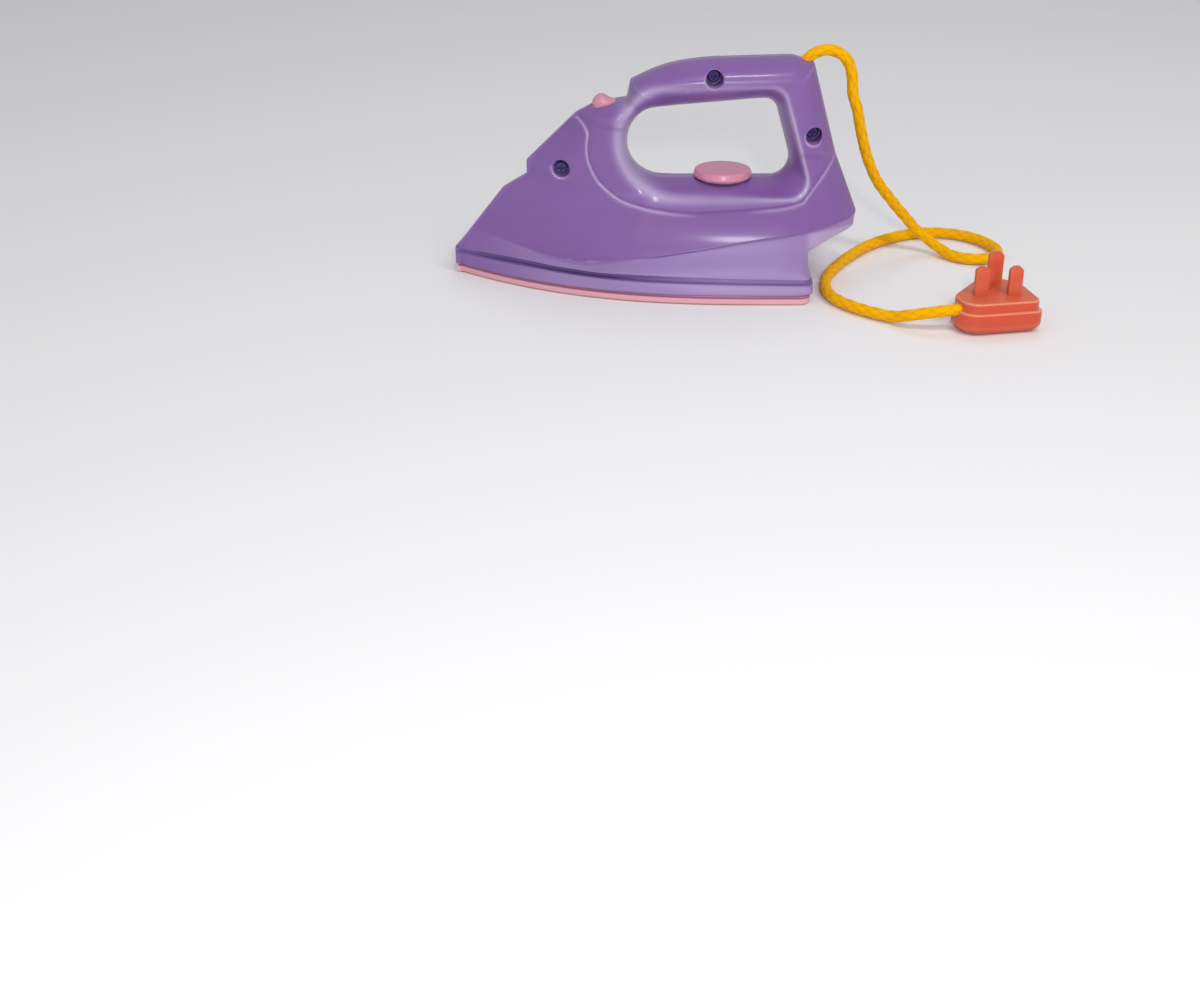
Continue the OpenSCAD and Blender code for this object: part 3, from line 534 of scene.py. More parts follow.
def hullSection(x, z):
    # half width of the flared hull under the swoosh edge
    setting = shellSetting
    ledge = swooshAt(x)
    (start, startOver), (end, endOver) = setting["swooshStart"], setting["swooshEnd"]
    overhang = setting["swooshStep"] * eased((x - start) / startOver) * eased((end - x) / endOver)
    top = halfWidthByHeight(ledge) - overhang
    t = np.clip((ledge - z) / (ledge - channelTopAt(x)), 0, setting["hullReach"])
    return top + (setting["halfWidth"] - setting["hullIn"] - top) * t ** setting["hullFlare"]


def blurredLayer(function, blur, step=0.5):
    # height map over the side view, blurred both ways, and a sampler for it
    x, z = np.arange(-112, 112, step), np.arange(-14, 114, step)
    values = function(*np.meshgrid(x, z, indexing="ij"))
    spread = np.exp(-0.5 * (np.arange(-3 * blur, 3 * blur + 0.1, step) / blur) ** 2)
    spread /= spread.sum()
    for axis in (0, 1):
        values = np.apply_along_axis(lambda row: np.convolve(row, spread, "same"), axis, values)

    def weights(t):
        inner = (3 * t**3 - 6 * t**2 + 4) / 6, (-3 * t**3 + 3 * t**2 + 3 * t + 1) / 6
        return ((1 - t) ** 3 / 6, *inner, t**3 / 6)

    def at(px, pz):
        fx = np.clip((px - x[0]) / step, 1, len(x) - 4)
        fz = np.clip((pz - z[0]) / step, 1, len(z) - 4)
        i, k = fx.astype(int), fz.astype(int)
        wx, wz = weights(fx - i), weights(fz - k)
        return sum(wx[a] * wz[b] * values[i + a - 1, k + b - 1] for a in range(4) for b in range(4))

    return at


cheekLayer = blurredLayer(lambda x, z: halfWidthByHeight(z) * planShare(x, z), shellSetting["cheekBlur"])
hullLayer = blurredLayer(lambda x, z: hullSection(x, z) * planShare(x, z), shellSetting["hullBlur"])


def rollOver(t):
    # quarter round that leaves level and drops away
    return 1 - np.sqrt(1 - np.clip(t, 0, 1) ** 2)


def outerHalf(ray, r):
    # half width of the outside at distance r along each ray
    setting = shellSetting
    col = lambda key: ray[key][:, None]
    x = hub[0] + ray["dirs"][:, 0:1] * r
    z = hub[1] + ray["dirs"][:, 1:2] * r
    full, moulding = setting["halfWidth"], mouldingSetting
    # the moulding lies below the cheek, with a sharp inner corner and a rounded rim that softens upwards
    rise = moulding["rise"] + moulding["riseMore"] * eased((z - moulding["riseFrom"]) / moulding["riseOver"])
    beyond = np.clip((r - col("rm")) * col("square") / rise, 0, 1)
    face = cheekLayer(x, z) - col("recess") * (1 - beyond) ** 2
    face = face + (hullLayer(x, z) - face) * rollOver((swooshAt(x) - z) / setting["ledgeRound"])
    # the channel runs out towards the nose
    skirt = np.maximum(0, skirtShare(x))
    floor = full * skirt - setting["channelIn"] * np.minimum(1, setting["channelFade"] * skirt)
    face = face + (floor - face) * rollOver((channelTopAt(x) - z) / setting["hullRound"])
    lip = np.clip((channelLowAt(x) + setting["lipRound"] - z) / setting["lipRound"], 0, 1)
    face = face + (full * skirt - face) * np.sqrt(1 - (1 - lip) ** 2)
    gap, share, radius = fromEdge(x, z)
    power = setting["roundPower"]
    rounding = (1 - (1 - np.clip(gap / radius, 0, 1)) ** power) ** (1 / power)
    least = np.where(z < setting["noseTop"], setting["noseFlat"], setting["thinEdge"])
    return np.maximum(least, face * (share + (1 - share) * rounding))


def shellHalf(ray, r):
    # the outside with the bevel round the opening laid into it
    face = outerHalf(ray, r)
    crestHeight = outerHalf(ray, ray["r1"][:, None])
    span = (ray["r1"] - ray["r0"])[:, None]
    bevel = crestHeight * np.sqrt(np.maximum(r - ray["r0"][:, None], 0) / span)
    k = ray["crestRound"][:, None]
    mix = np.clip(0.5 + 0.5 * (face - bevel) / k, 0, 1)
    return np.maximum(0, face + (bevel - face) * mix - k * mix * (1 - mix))


# rows along each ray, a mm: plain, at both ends, and how many each line of the surface draws to itself, over
# what width and how far past the line
rowSetting = dict(rows=124, samples=1000, plain=0.4, ends=4, endWide=1.2, leastSteep=0.3, bell=1.77)
rowPeaks = [("r1", 1.8, 3.5, 0), ("rm", 5, 1.0, 0.6), ("rw", 9, 0.6, 0.35), ("rc", 9, 0.45, 0.25),
            ("rl", 9, 0.45, -0.2)]
levelLines = ("rw", "rc", "rl")


def rowPlaces(ray):
    # rows at equal shares of a density that is high where the surface turns
    setting = rowSetting
    col = lambda key: ray[key][:, None]
    r = col("r0") + (col("rs") - col("r0")) * np.linspace(0, 1, setting["samples"])[None, :]
    density = setting["plain"] + setting["ends"] * (
        np.exp((col("r0") - r) / setting["endWide"]) + np.exp((r - col("rs")) / setting["endWide"]))
    step = (col("rs") - col("r0")) / setting["samples"]
    steep = np.maximum(setting["leastSteep"], np.abs(ray["dirs"][:, 1:2]))
    for key, height, wide, past in rowPeaks:
        # a line beyond the outline keeps its rows at the edge, so that they don't jump from ray to ray
        off = (r - np.minimum(col(key), col("rs"))) * (steep if key in levelLines else 1)
        peak = np.exp(-(off - past) ** 2 / wide ** 2)
        density = density + setting["bell"] * height * wide * peak / (peak.sum(axis=1, keepdims=True) * step)
    total = np.cumsum(density, axis=1)
    total = (total - total[:, :1]) / (total[:, -1:] - total[:, :1])
    want = np.linspace(0, 1, setting["rows"])
    return np.stack([np.interp(want, shares, spots) for shares, spots in zip(total, r)])


def shellRings():
    # points of the half shell on the +Y side, ring by ring
    setting = shellSetting
    edge = thinned(walked(bodyLine, setting["walkStep"]), setting["leastStep"])
    turn = np.arctan2(*(edge - hub).T[::-1])
    ray = castRays(turn)
    r = rowPlaces(ray)
    h = shellHalf(ray, r)
    seam = setting["seam"]
    h[:, 0] = 0
    # inner face, a wall's thickness inside, on a few rows
    wall = setting["wall"]
    floorInset = wall / np.maximum(0.2, -ray["dirs"][:, 1])
    inEnd = ray["rs"] - np.where(ray["onFloor"], floorInset, wall)
    inStart = ray["r0"] + wall
    share = np.linspace(0, 1, setting["innerRows"])
    inner = inStart[:, None] + (inEnd - inStart)[:, None] * share
    mapped = ray["r0"][:, None] + (ray["rs"] - ray["r0"])[:, None] * share
    innerHalf = np.maximum(0, np.minimum(shellHalf(ray, mapped), shellHalf(ray, inner)) - wall)
    innerHalf[:, 0] = 0
    rings = []
    for i in range(len(edge)):
        outer = [(r[i, 0] + 2 * seam, 0), (r[i, 0], seam)]
        outer += [(a, max(seam, b)) for a, b in zip(r[i, 1:], h[i, 1:])]
        outer += [(ray["rs"][i], seam), (ray["rs"][i] - 2 * seam, 0)]
        back = [(inEnd[i], 0)] + list(zip(inner[i, ::-1], innerHalf[i, ::-1]))
        d = ray["dirs"][i]
        rings.append([(hub[0] + d[0] * a, b, hub[1] + d[1] * a) for a, b in outer + back])
    return np.array(rings)


def halfShell(name, side, rings):
    points = rings.reshape(-1, 3) * (1, side, 1)
    return meshObject(name, points, gridFaces(len(rings), len(rings[0]), closedRings=True), 40)


def surfaceAt(x, z):
    # half width of the outside at points of the side view
    x, z = np.atleast_1d(x).astype(float), np.atleast_1d(z).astype(float)
    ray = castRays(np.arctan2(z - hub[1], x - hub[0]))
    r = np.hypot(x - hub[0], z - hub[1])
    return shellHalf(ray, r[:, None])[:, 0]


# What is cut into the shells and what stands in them
screwSetting = dict(at=[(-41.6, 49.2), (24.3, 89.2), (68, 65.1)], seat=3.4, recess=3.7, flare=0.45, flareDepth=0.495,
                    boss=5.1, pilotBoss=3.75, bossShort=0.9, hole=1.7, pilot=1.5, length=9.4)
dialSetting = dict(x=30.0, seat=43.2, foot=11.4, wide=13.2, top=12.3, height=4.45, crown=0.2, lift=0.15, pocket=12.7,
                   pocketCut=(0, 12), stemCut=(-6, 1),
                   stem=4.0, stemGap=0.08, stemExtra=0.35, padLength=15.0, padWidth=8.0, padTop=42.65, padThick=5.15,
                   screw=1.5, screwDepth=5.8)
buttonSetting = dict(x=-22.8, length=10.4, width=11.0, gap=0.25, slot=(-6.2, 6), seatLine=((-28, 76.2), (-13, 78.4)),
                     ridge=80.4, low=71.6, corner=4.6, swell=3.4, roundness=2.3,
                     ridgeLine=[(0, -1.3), (2, -0.4), (3.8, 0), (5.2, -0.25), (6.6, -1.3), (8.2, -1.9), (10.4, -2.1)],
                     tongue=1.2, tongueWidth=6.0, tongueGap=0.7, peg=1.7, pegHeight=2.4, springX=-23.4,
                     shelfTop=62.4, shelf=(-31, -18.6), shelfThick=2.0, shelfShort=0.8)


def seatHeight(x):
    # straight top in front of the handle, where the button stands
    (x0, z0), (x1, z1) = buttonSetting["seatLine"]
    return z0 + (x - x0) * (z1 - z0) / (x1 - x0)


def buttonPlan(half, corner):
    corners = [(sx * half[0], sy * half[1], corner) for sx, sy in ((-1, -1), (1, -1), (1, 1), (-1, 1))]
    return walked(roundedLine(corners, 8), 0.6) + (buttonSetting["x"], 0)


def conformedPlug(name, centre, radius, side, depth, sides=40):
    # block from the mid-plane to a depth under the outside, round in the side view
    turn = fullTurn(sides)
    x, z = centre[0] + radius * np.cos(turn), centre[1] + radius * np.sin(turn)
    far = np.maximum(1, surfaceAt(x, z) - depth)
    ring = lambda y: np.stack([x, side * y, z], 1)
    return lofted(name, [ring(np.zeros(sides)), ring(far)])


def wellCutter(name, centre, side):
    # screw recess that flares into the outside at its mouth
    setting = screwSetting
    sides = 72
    turn = fullTurn(sides)
    rings = []

    def ring(radius, depth=None, fixed=None):
        x, z = centre[0] + radius * np.cos(turn), centre[1] + radius * np.sin(turn)
        y = surfaceAt(x, z) - depth if fixed is None else np.full(sides, fixed)
        rings.append(np.stack([x, side * np.maximum(y, setting["seat"]), z], 1))

    bore, flare, deep = setting["recess"], setting["flare"], setting["flareDepth"]
    ring(bore, fixed=setting["seat"])
    ring(bore, deep)
    for share in (0.1, 0.25, 0.45, 0.7):
        ring(bore + flare * share, deep * (1 - share) ** 2.2)
    ring(bore + flare, -0.05)
    ring(bore + flare * 1.05, -6)
    return lofted(name, rings)


def shellWorks(side):
    # the list of joins and cuts for one shell
    dial, button, screw, plate = dialSetting, buttonSetting, screwSetting, plateSetting
    y0, y1 = sorted((0, side * dial["padWidth"]))
    joins = [block("pad", (dial["x"] - dial["padLength"], y0, dial["seat"] - dial["padThick"]),
                   (dial["x"] + dial["padLength"], y1, dial["padTop"]))]
    keep = block("keep", (-200, min(0, side * 100), -50), (200, max(0, side * 100), 200))
    top, pegX = button["shelfTop"], button["springX"]
    peg = rod("peg", (pegX, 0, top - 0.5), (pegX, 0, top + button["pegHeight"]), button["peg"])
    joins.append(combine(peg, [("INTERSECT", keep)]))
    x0, x1 = button["shelf"]
    low = top - button["shelfThick"]
    x, z = np.array([(x0, low), (x1, low), (x1, top), (x0, top)]).T
    far = surfaceAt(x, z) - button["shelfShort"]
    joins.append(lofted("shelf", [np.stack([x, y, z], 1) for y in (np.zeros(4), side * far)]))
    radius = screw["boss"] if side < 0 else screw["pilotBoss"]
    joins += [conformedPlug("boss", p, radius, side, screw["bossShort"]) for p in screw["at"]]

    cuts = []
    for name, levels, radius, sides in (("dialSeat", dial["pocketCut"], dial["pocket"], 128),
                                        ("stemHole", dial["stemCut"], dial["stem"] + dial["stemGap"], 64)):
        low, high = [(dial["x"], 0, dial["seat"] + level) for level in levels]
        cuts.append(rod(name, low, high, radius, sides))
    half = (button["length"] / 2 + button["gap"], button["width"] / 2 + button["gap"])
    slot, mid = buttonPlan(half, button["corner"] + button["gap"]), seatHeight(button["x"])
    cuts.append(lofted("buttonSlot", [np.column_stack([slot, np.full(len(slot), mid + z)]) for z in button["slot"]]))
    leave, out = cordExit()
    cuts.append(rod("cordHole", leave - out * cordSetting["holeDepth"], leave + out * cordSetting["holeOut"],
                    cordSetting["diameter"] / 2 + cordSetting["gap"]))
    length, thick = plate["tabLength"] / 2 + plate["tabGap"], plate["tabThick"] / 2 + plate["tabGap"]
    low, high = plate["tabSlot"]
    cuts += [block("tabSlot", (x - length, -thick, low), (x + length, thick, high)) for x in plate["tabs"]]
    for x, z in screw["at"]:
        if side < 0:
            cuts.append(wellCutter("well", (x, z), side))
            cuts.append(rod("screwHole", (x, -screw["seat"] - 1, z), (x, 1, z), screw["hole"]))
        else:
            cuts.append(rod("pilot", (x, -1, z), (x, screw["length"] - screw["seat"], z), screw["pilot"]))
    return [("UNION", other) for other in joins] + [("DIFFERENCE", other) for other in cuts]


# Sole plate: plan outline from the skirt, sizes in mm
plateSetting = dict(thick=4.0, inset=0.6, heelX=67.6, corner=5.0, edge=0.9, topEdge=0.6, crowd=1.15,
                    wallLevels=(1.3, 2.2, 2.5, 2.8, 3.1), shade=(2.4, 0.5), foot=(1.2, 0.6), tabs=(-45, 0, 45),
                    tabLength=10, tabThick=3, tabGap=0.2, tabSlot=(2.5, 7), tabHeadWidth=8, tabHeadHeight=2)


def skirtHalf(x):
    return np.maximum(shellSetting["noseFlat"], shellSetting["halfWidth"] * skirtShare(x))


def solePlate():
    setting = plateSetting
    front, rear = shellSetting["noseX"] + setting["inset"], setting["heelX"] - 2 * setting["inset"]
    c, edge, topEdge, thick = setting["corner"], setting["edge"], setting["topEdge"], setting["thick"]
    x = front + (rear - c - front) * np.linspace(0, 1, 90) ** setting["crowd"]
    side = np.stack([x, skirtHalf(x) - setting["inset"]], 1)
    turn = np.radians(np.arange(80, -1, -10))
    bend = np.stack([rear - c + c * np.cos(turn), skirtHalf(rear) - setting["inset"] - c + c * np.sin(turn)], 1)
    line = np.vstack([side, bend])
    line = np.vstack([line, line[::-1] * (1, -1)])
    run = np.roll(line, -1, 0) - np.roll(line, 1, 0)
    inward = np.stack([run[:, 1], -run[:, 0]], 1)
    inward /= np.linalg.norm(inward, axis=1)[:, None]
    # how far each level stands in from the outline, with the lower and upper edge rounded
    turns = np.radians(np.linspace(0, 90, 6))
    levels = [(edge * (1 - math.sin(t)), edge * (1 - math.cos(t))) for t in turns]
    levels += [(0, z) for z in setting["wallLevels"]]
    levels += [(topEdge * (1 - math.sin(t)), thick - topEdge * (1 - math.cos(t))) for t in turns[::-1]]
    plate = lofted("solePlate", [np.column_stack([line + inward * inset, np.full(len(line), z)])
                                 for inset, z in levels], 50)
    stemTop, half = thick + shellSetting["wall"] + setting["tabGap"], setting["tabLength"] / 2
    steps = []
    for tab in setting["tabs"]:
        for name, wide, low, high in (
                ("tabStem", setting["tabThick"], thick - 1, stemTop + 0.5),
                ("tabHead", setting["tabHeadWidth"], stemTop, stemTop + setting["tabHeadHeight"])):
            steps.append(("UNION", block(name, (tab - half, -wide / 2, low), (tab + half, wide / 2, high))))
    return combine(plate, steps, 50)


rings = shellRings()
leftShell = combine(halfShell("leftShell", -1, rings), shellWorks(-1), 40)
rightShell = combine(halfShell("rightShell", 1, rings), shellWorks(1), 40)
platePiece = solePlate()
for piece, node, slot in ((leftShell, "left_shell", "shell"), (rightShell, "right_shell", "shell"),
                          (platePiece, "sole_plate", "trim")):
    attach(piece, "iron", node, slot)


# how strong the painted highlight is on the crest and on the moulding's rim, by direction from the hub in degrees
crestHighlight = [(-180, 0.8), (-150, 0.85), (-120, 0.6), (-90, 0.45), (-50, 0.5), (-25, 0.9), (20, 0.9), (50, 0.4),
             (110, 0.4), (150, 0.7), (180, 0.8)]
rimHighlight = [(-180, 0.7), (-130, 0.7), (-100, 0), (-60, 0), (-45, 0.45), (0, 0.5), (20, 0), (120, 0), (150, 0.6),
           (180, 0.7)]
# places and widths of the satin tone, of the groove's painted shade, of the painted highlights and of the painted
# reflection under the tail
markSetting = dict(satinOver=0.8, satinLeast=0.15, satinFrom=-80, satinLength=45, grooveOver=0.5, grooveLow=0.3,
                   crestWide=0.7, crestRound=0.42, rimAt=1.1, rimWide=0.55, under=0.7, underX=(64, 5),
                   underLow=(15, 3), underHigh=(26.5, 2), lip=0.9, lipAt=4.1, lipWide=0.4, lipTo=(0.5, 0.87))


def markShell(piece):
    # satin is 1 on the hull and the lip below the swoosh edge, for a rougher finish and a lighter tone that is partly
    # painted light; groove is 1 in the channel, for painted shade; the pale mark is a painted highlight on the crest,
    # on the rim of the moulding and at the lower lips of the screw wells, and a painted reflection under the tail
    setting = markSetting
    x, y, z = places(piece)
    least, over = setting["satinLeast"], setting["grooveOver"]
    onward = eased((x - setting["satinFrom"]) / setting["satinLength"])
    # satin tone: partly the hull's satin finish, partly painted light where the flared hull faces the lamps
    mark(piece, "satinAndPaintedLight", eased((swooshAt(x) - z) / setting["satinOver"]) * (least + (1 - least) * onward))
    # painted shade in the channel under the hull
    floorUp = eased((z - channelLowAt(x) + setting["grooveLow"]) / over)
    mark(piece, "grooveShade", eased((channelTopAt(x) - z) / over) * floorUp)
    turn, r = np.arctan2(z - hub[1], x - hub[0]), np.hypot(x - hub[0], z - hub[1])
    ray = castRays(turn)
    byTurn = lambda table: np.interp(np.degrees(turn), *np.array(table, float).T)
    # painted highlight along the crest and along the moulding's rim
    wide = setting["crestWide"] + setting["crestRound"] * ray["crestRound"]
    crest = byTurn(crestHighlight) * np.exp(-((r - ray["r1"]) / wide) ** 2)
    fromRim = (r - ray["rm"]) * ray["square"] - setting["rimAt"]
    rim = byTurn(rimHighlight) * np.exp(-(fromRim / setting["rimWide"]) ** 2)
    # painted reflection on the tail's underside
    (rear, rearOver), (low, lowOver), (high, highOver) = setting["underX"], setting["underLow"], setting["underHigh"]
    under = setting["under"] * eased((x - rear) / rearOver) * eased((z - low) / lowOver)
    under = under * eased((high - z) / highOver)
    paintedLight = np.maximum(np.maximum(crest, under), rim)
    # painted highlight on the lower lip of each screw well, on the near side only
    toX, toZ = setting["lipTo"]
    for wellX, wellZ in screwSetting["at"]:
        away = np.hypot(x - wellX, z - wellZ)
        below = np.clip(((wellX - x) * toX + (wellZ - z) * toZ) / np.maximum(away, 1), 0, 1)
        lip = np.exp(-((away - setting["lipAt"]) / setting["lipWide"]) ** 2)
        paintedLight = np.maximum(paintedLight, setting["lip"] * (y < 0) * below * lip)
    mark(piece, "paintedLight", paintedLight)


for piece in (leftShell, rightShell):
    markShell(piece)
# the plate has painted shade in the joint under the lip and turns tan towards its foot
plateHeight = places(platePiece)[2]
(shadeFrom, shadeOver), (footTo, footOver) = plateSetting["shade"], plateSetting["foot"]
mark(platePiece, "shade", eased((plateHeight - shadeFrom) / shadeOver))
mark(platePiece, "foot", eased((footTo - plateHeight) / footOver))
report("half shells, %d and %d faces, and sole plate" % (len(leftShell.data.polygons), len(rightShell.data.polygons)))


def lathed(name, profile, centre, sides=128):
    # closed turned solid from (radius, height) points that start and end on the axis
    profile = np.asarray(profile, float)
    turn = fullTurn(sides)
    points = [(centre[0], centre[1], centre[2] + profile[0, 1])]
    for radius, z in profile[1:-1]:
        points += [(centre[0] + radius * math.cos(a), centre[1] + radius * math.sin(a), centre[2] + z) for a in turn]
    points.append((centre[0], centre[1], centre[2] + profile[-1, 1]))
    rings = len(profile) - 2
    faces = [(0, 1 + (k + 1) % sides, 1 + k) for k in range(sides)]
    faces += [[1 + corner for corner in face] for face in gridFaces(rings, sides)]
    last = 1 + (rings - 1) * sides
    faces += [(last + k, last + (k + 1) % sides, len(points) - 1) for k in range(sides)]
    return meshObject(name, points, faces)


# Dial: a low turned bowl with a flat top, on a stem
def dialKnob():
    setting = dialSetting
    x, low, tip = setting["x"], setting["seat"] + setting["lift"], setting["height"] + setting["crown"]
    foot, wide, top, height = setting["foot"], setting["wide"], setting["top"], setting["height"]
    line = roundedLine([(0, 0, 0), (foot, 0, 0.5), (wide, height * 0.3, 1.2), (top, height - setting["crown"], 1.0),
                        (0, tip, 0)], 10)
    rim, rimHeight = line[-2]
    crown = [(rim * s, rimHeight + (tip - rimHeight) * (1 - s)) for s in (0.85, 0.7, 0.5, 0.3, 0.15)]
    knob = lathed("dialKnob", [tuple(p) for p in line[:-1]] + crown + [(0, tip)], (x, 0, low))
    stemLow = low - setting["padThick"] - setting["stemExtra"]
    steps = [("UNION", rod("stem", (x, 0, stemLow), (x, 0, low + 1), setting["stem"])),
             ("DIFFERENCE", rod("screwBore", (x, 0, stemLow - 1), (x, 0, stemLow + setting["screwDepth"]),
                                setting["screw"], 32))]
    return combine(knob, steps)


# Spray button: a rounded lump with a hollowed ramp for the thumb, and tongues and a peg below
def sprayButton():
    setting = buttonSetting
    mid, low, half = setting["x"], setting["low"], (setting["length"] / 2, setting["width"] / 2)
    front, rear = mid - half[0], mid + half[0]
    ridge = softTable([(front + a, setting["ridge"] + b) for a, b in setting["ridgeLine"]], 0.5)
    line = buttonPlan(half, setting["corner"]) - (mid, 0)
    rings = [np.column_stack([mid + line[:, 0], line[:, 1], np.full(len(line), z)])
             for z in (low, low + 0.3, low + 1.2)]
    for share in (1, 0.996, 0.985, 0.965, 0.935, 0.9, 0.85, 0.79, 0.72, 0.63, 0.53, 0.42, 0.3, 0.18, 0.07):
        x, y = mid + line[:, 0] * share, line[:, 1] * share
        base = seatHeight(x)
        rise = (1 - share ** setting["swell"]) ** (1 / setting["roundness"])
        rings.append(np.column_stack([x, y, base + (ridge(x) - base) * rise]))
    knob = lofted("sprayKnob", rings, 50)
    under = shellSetting["wall"] + setting["tongueGap"]
    a, b = front - setting["tongue"], rear + setting["tongue"]
    x, z = np.array([(a, low), (b, low), (b, seatHeight(b) - under), (a, seatHeight(a) - under)]).T
    w, pegX = setting["tongueWidth"] / 2, setting["springX"]
    steps = [("UNION", lofted("tongue", [np.stack([x, np.full(4, y), z], 1) for y in (-w, w)])),
             ("UNION", rod("peg", (pegX, 0, low - setting["pegHeight"]), (pegX, 0, low + 1), setting["peg"], 48))]
    return combine(knob, steps, 50)


# Return spring: a plain coil between the shelf and the button
springSetting = dict(mean=6.0, wire=0.6, turns=6, steps=40, sides=14, travel=2.5)


def returnSpring():
    setting = springSetting
    low, high = buttonSetting["shelfTop"], buttonSetting["low"]
    share = np.linspace(0, 1, setting["turns"] * setting["steps"] + 1)
    turn = share * setting["turns"] * 2 * math.pi
    radius, wire = setting["mean"] / 2, setting["wire"] / 2
    path = np.stack([buttonSetting["springX"] + radius * np.cos(turn), radius * np.sin(turn),
                     low + wire + (high - low - 2 * wire) * share], 1)
    sideA, sideB = carriedAxes(path)
    coil = lofted("returnSpring", [circle(p, wire, a, b, setting["sides"])
                                   for p, a, b in zip(path, sideA, sideB)], 60)
    attach(coil, "iron", "spray_spring", "steel")
    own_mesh(coil)
    return coil


springPiece = returnSpring()
dialPiece, buttonPiece = dialKnob(), sprayButton()
for piece, node, body in ((dialPiece, "dial", "selector"), (buttonPiece, "spray_button", "spray")):
    attach(piece, body, node, "trim")
report("dial, spray button and its spring")


# Plug: two tiers and three pins
def plugCorners(share):
    w, d = plugSetting["width"], plugSetting["depth"]
    line = roundedLine([(0, 0, 8), (w, 0, 4), (w + 0.5, d - 8, 5), (w - 6, d, 6), (w - 18, d, 6), (0, 15, 4)], 10)
    mid = np.array((w / 2, d / 2))
    return mid + (line - mid) * share


def tier(name, levels):
    # levels are (height, share of the outline, further inset in mm)
    w = plugSetting["width"]
    return lofted(name, [[onPlug(u, v, z) for u, v in plugCorners(share * (1 - 2 * inset / w))]
                         for z, share, inset in levels], 45)


def roundedRise(low, high, share, edge):
    # levels of an upright wall with a rounded upper edge
    turns = np.radians(np.linspace(90, 0, 6))
    levels = [(low + (high - edge - low) * s, share, 0) for s in (0, 0.06, 0.16, 0.5, 0.84, 0.94)]
    return levels + [(high - edge * (1 - math.cos(t)), share, edge * (1 - math.sin(t))) for t in turns]


def plugCordCuts():
    setting = plugSetting
    z, v, gap = setting["baseHeight"], setting["entryV"], setting["gap"]
    u, (wide, long) = setting["knotU"], setting["knotSize"]
    return [("DIFFERENCE", rod("cordWay", onPlug(-3, v, z), onPlug(u + 1, v, z), cordSetting["diameter"] / 2 + gap)),
            ("DIFFERENCE", rod("knotRoom", onPlug(u - gap, v, z), onPlug(u + long + gap, v, z), wide / 2 + gap))]


def plugScrewCut(name, low, high, radius):
    at = plugSetting["screwAt"]
    return "DIFFERENCE", rod(name, onPlug(*at, low), onPlug(*at, high), radius)


def plugBase():
    setting = plugSetting
    high, foot, share = setting["baseHeight"], setting["footHeight"], setting["foot"]
    levels = [(0, share, 0.9), (0.12, share, 0.45), (0.45, share + 0.01, 0.1)]
    levels += [(foot * s, share + (1 - share) * s ** 0.8, 0) for s in (0.35, 0.55, 0.75, 0.9)]
    levels += [(foot * 1.15, 1, 0.05), (foot * 1.4, 1, 0), (foot * 1.7, 1, 0)]
    levels += roundedRise(high - 3.0, high, 1, setting["baseEdge"])
    steps = [plugScrewCut("screwWay", -1, high + 1, 1.7), plugScrewCut("headRoom", -1, high - 3.2, 3.3)]
    return combine(tier("plugBase", levels), plugCordCuts() + steps, 45)


def plugPin(u, v, wide, high):
    # flat pin with a chamfered tip, turned a little on the plug
    setting = plugSetting
    low = setting["baseHeight"] + setting["faceHeight"]
    turn = math.radians(-setting["pinTurn"])
    along, across = np.array((math.cos(turn), math.sin(turn))), np.array((-math.sin(turn), math.cos(turn)))
    rings = []
    for z, drawIn in ((-0.8, 0), (high - 1.6, 0), (high - 1.1, 0.25), (high - 0.25, 1.15), (high - 0.06, 1.4),
                      (high, 1.7)):
        thin, half = setting["pinThick"] / 2 - min(drawIn, 0.5) * 0.8, wide / 2 - drawIn
        corners = roundedLine([(-half, -thin, 0.45), (half, -thin, 0.45), (half, thin, 0.45), (-half, thin, 0.45)], 4)
        rings.append([onPlug(*(np.array((u, v)) + along * a + across * b), low + z) for a, b in corners])
    return lofted("pin", rings, 40)


def plugFace():
    setting = plugSetting
    low, high = setting["baseHeight"], setting["baseHeight"] + setting["faceHeight"]
    steps = plugCordCuts() + [plugScrewCut("screwPilot", low - 1, high - 1.2, 1.5)]
    for place in setting["pins"]:
        steps.append(("UNION", plugPin(*place, setting["pinWidth"], setting["pinHeight"])))
    rearHeight = setting["pinHeight"] + setting["pinExtra"]
    steps.append(("UNION", plugPin(*setting["rearPin"], setting["rearPinWidth"], rearHeight)))
    return combine(tier("plugFace", roundedRise(low, high, setting["ledge"], setting["faceEdge"])), steps, 45)


knotSetting = dict(sides=48, rings=40, least=0.35, bulge=3.2, relief=0.14, strands=1.5, winds=2)


def stopperKnot(name, face, along, size):
    # the rope's end wound twice round itself and pulled tight
    setting = knotSetting
    wide, long = size
    side, other = sideAxes(along)
    turn = fullTurn(setting["sides"])
    loops = []
    for s in np.linspace(0, 1, setting["rings"] + 1):
        barrel = max(setting["least"], (1 - abs(2 * s - 1) ** setting["bulge"]) ** 0.5)
        wind = np.abs(np.sin(setting["strands"] * (turn + s * setting["winds"] * 2 * math.pi)))
        radius = wide / 2 * barrel * (1 - setting["relief"] * (1 - wind))
        loops.append(face + along * long * s + np.outer(radius * np.cos(turn), side)
                     + np.outer(radius * np.sin(turn), other))
    return lofted(name, loops, 60)


plugBasePiece, plugFacePiece = plugBase(), plugFace()
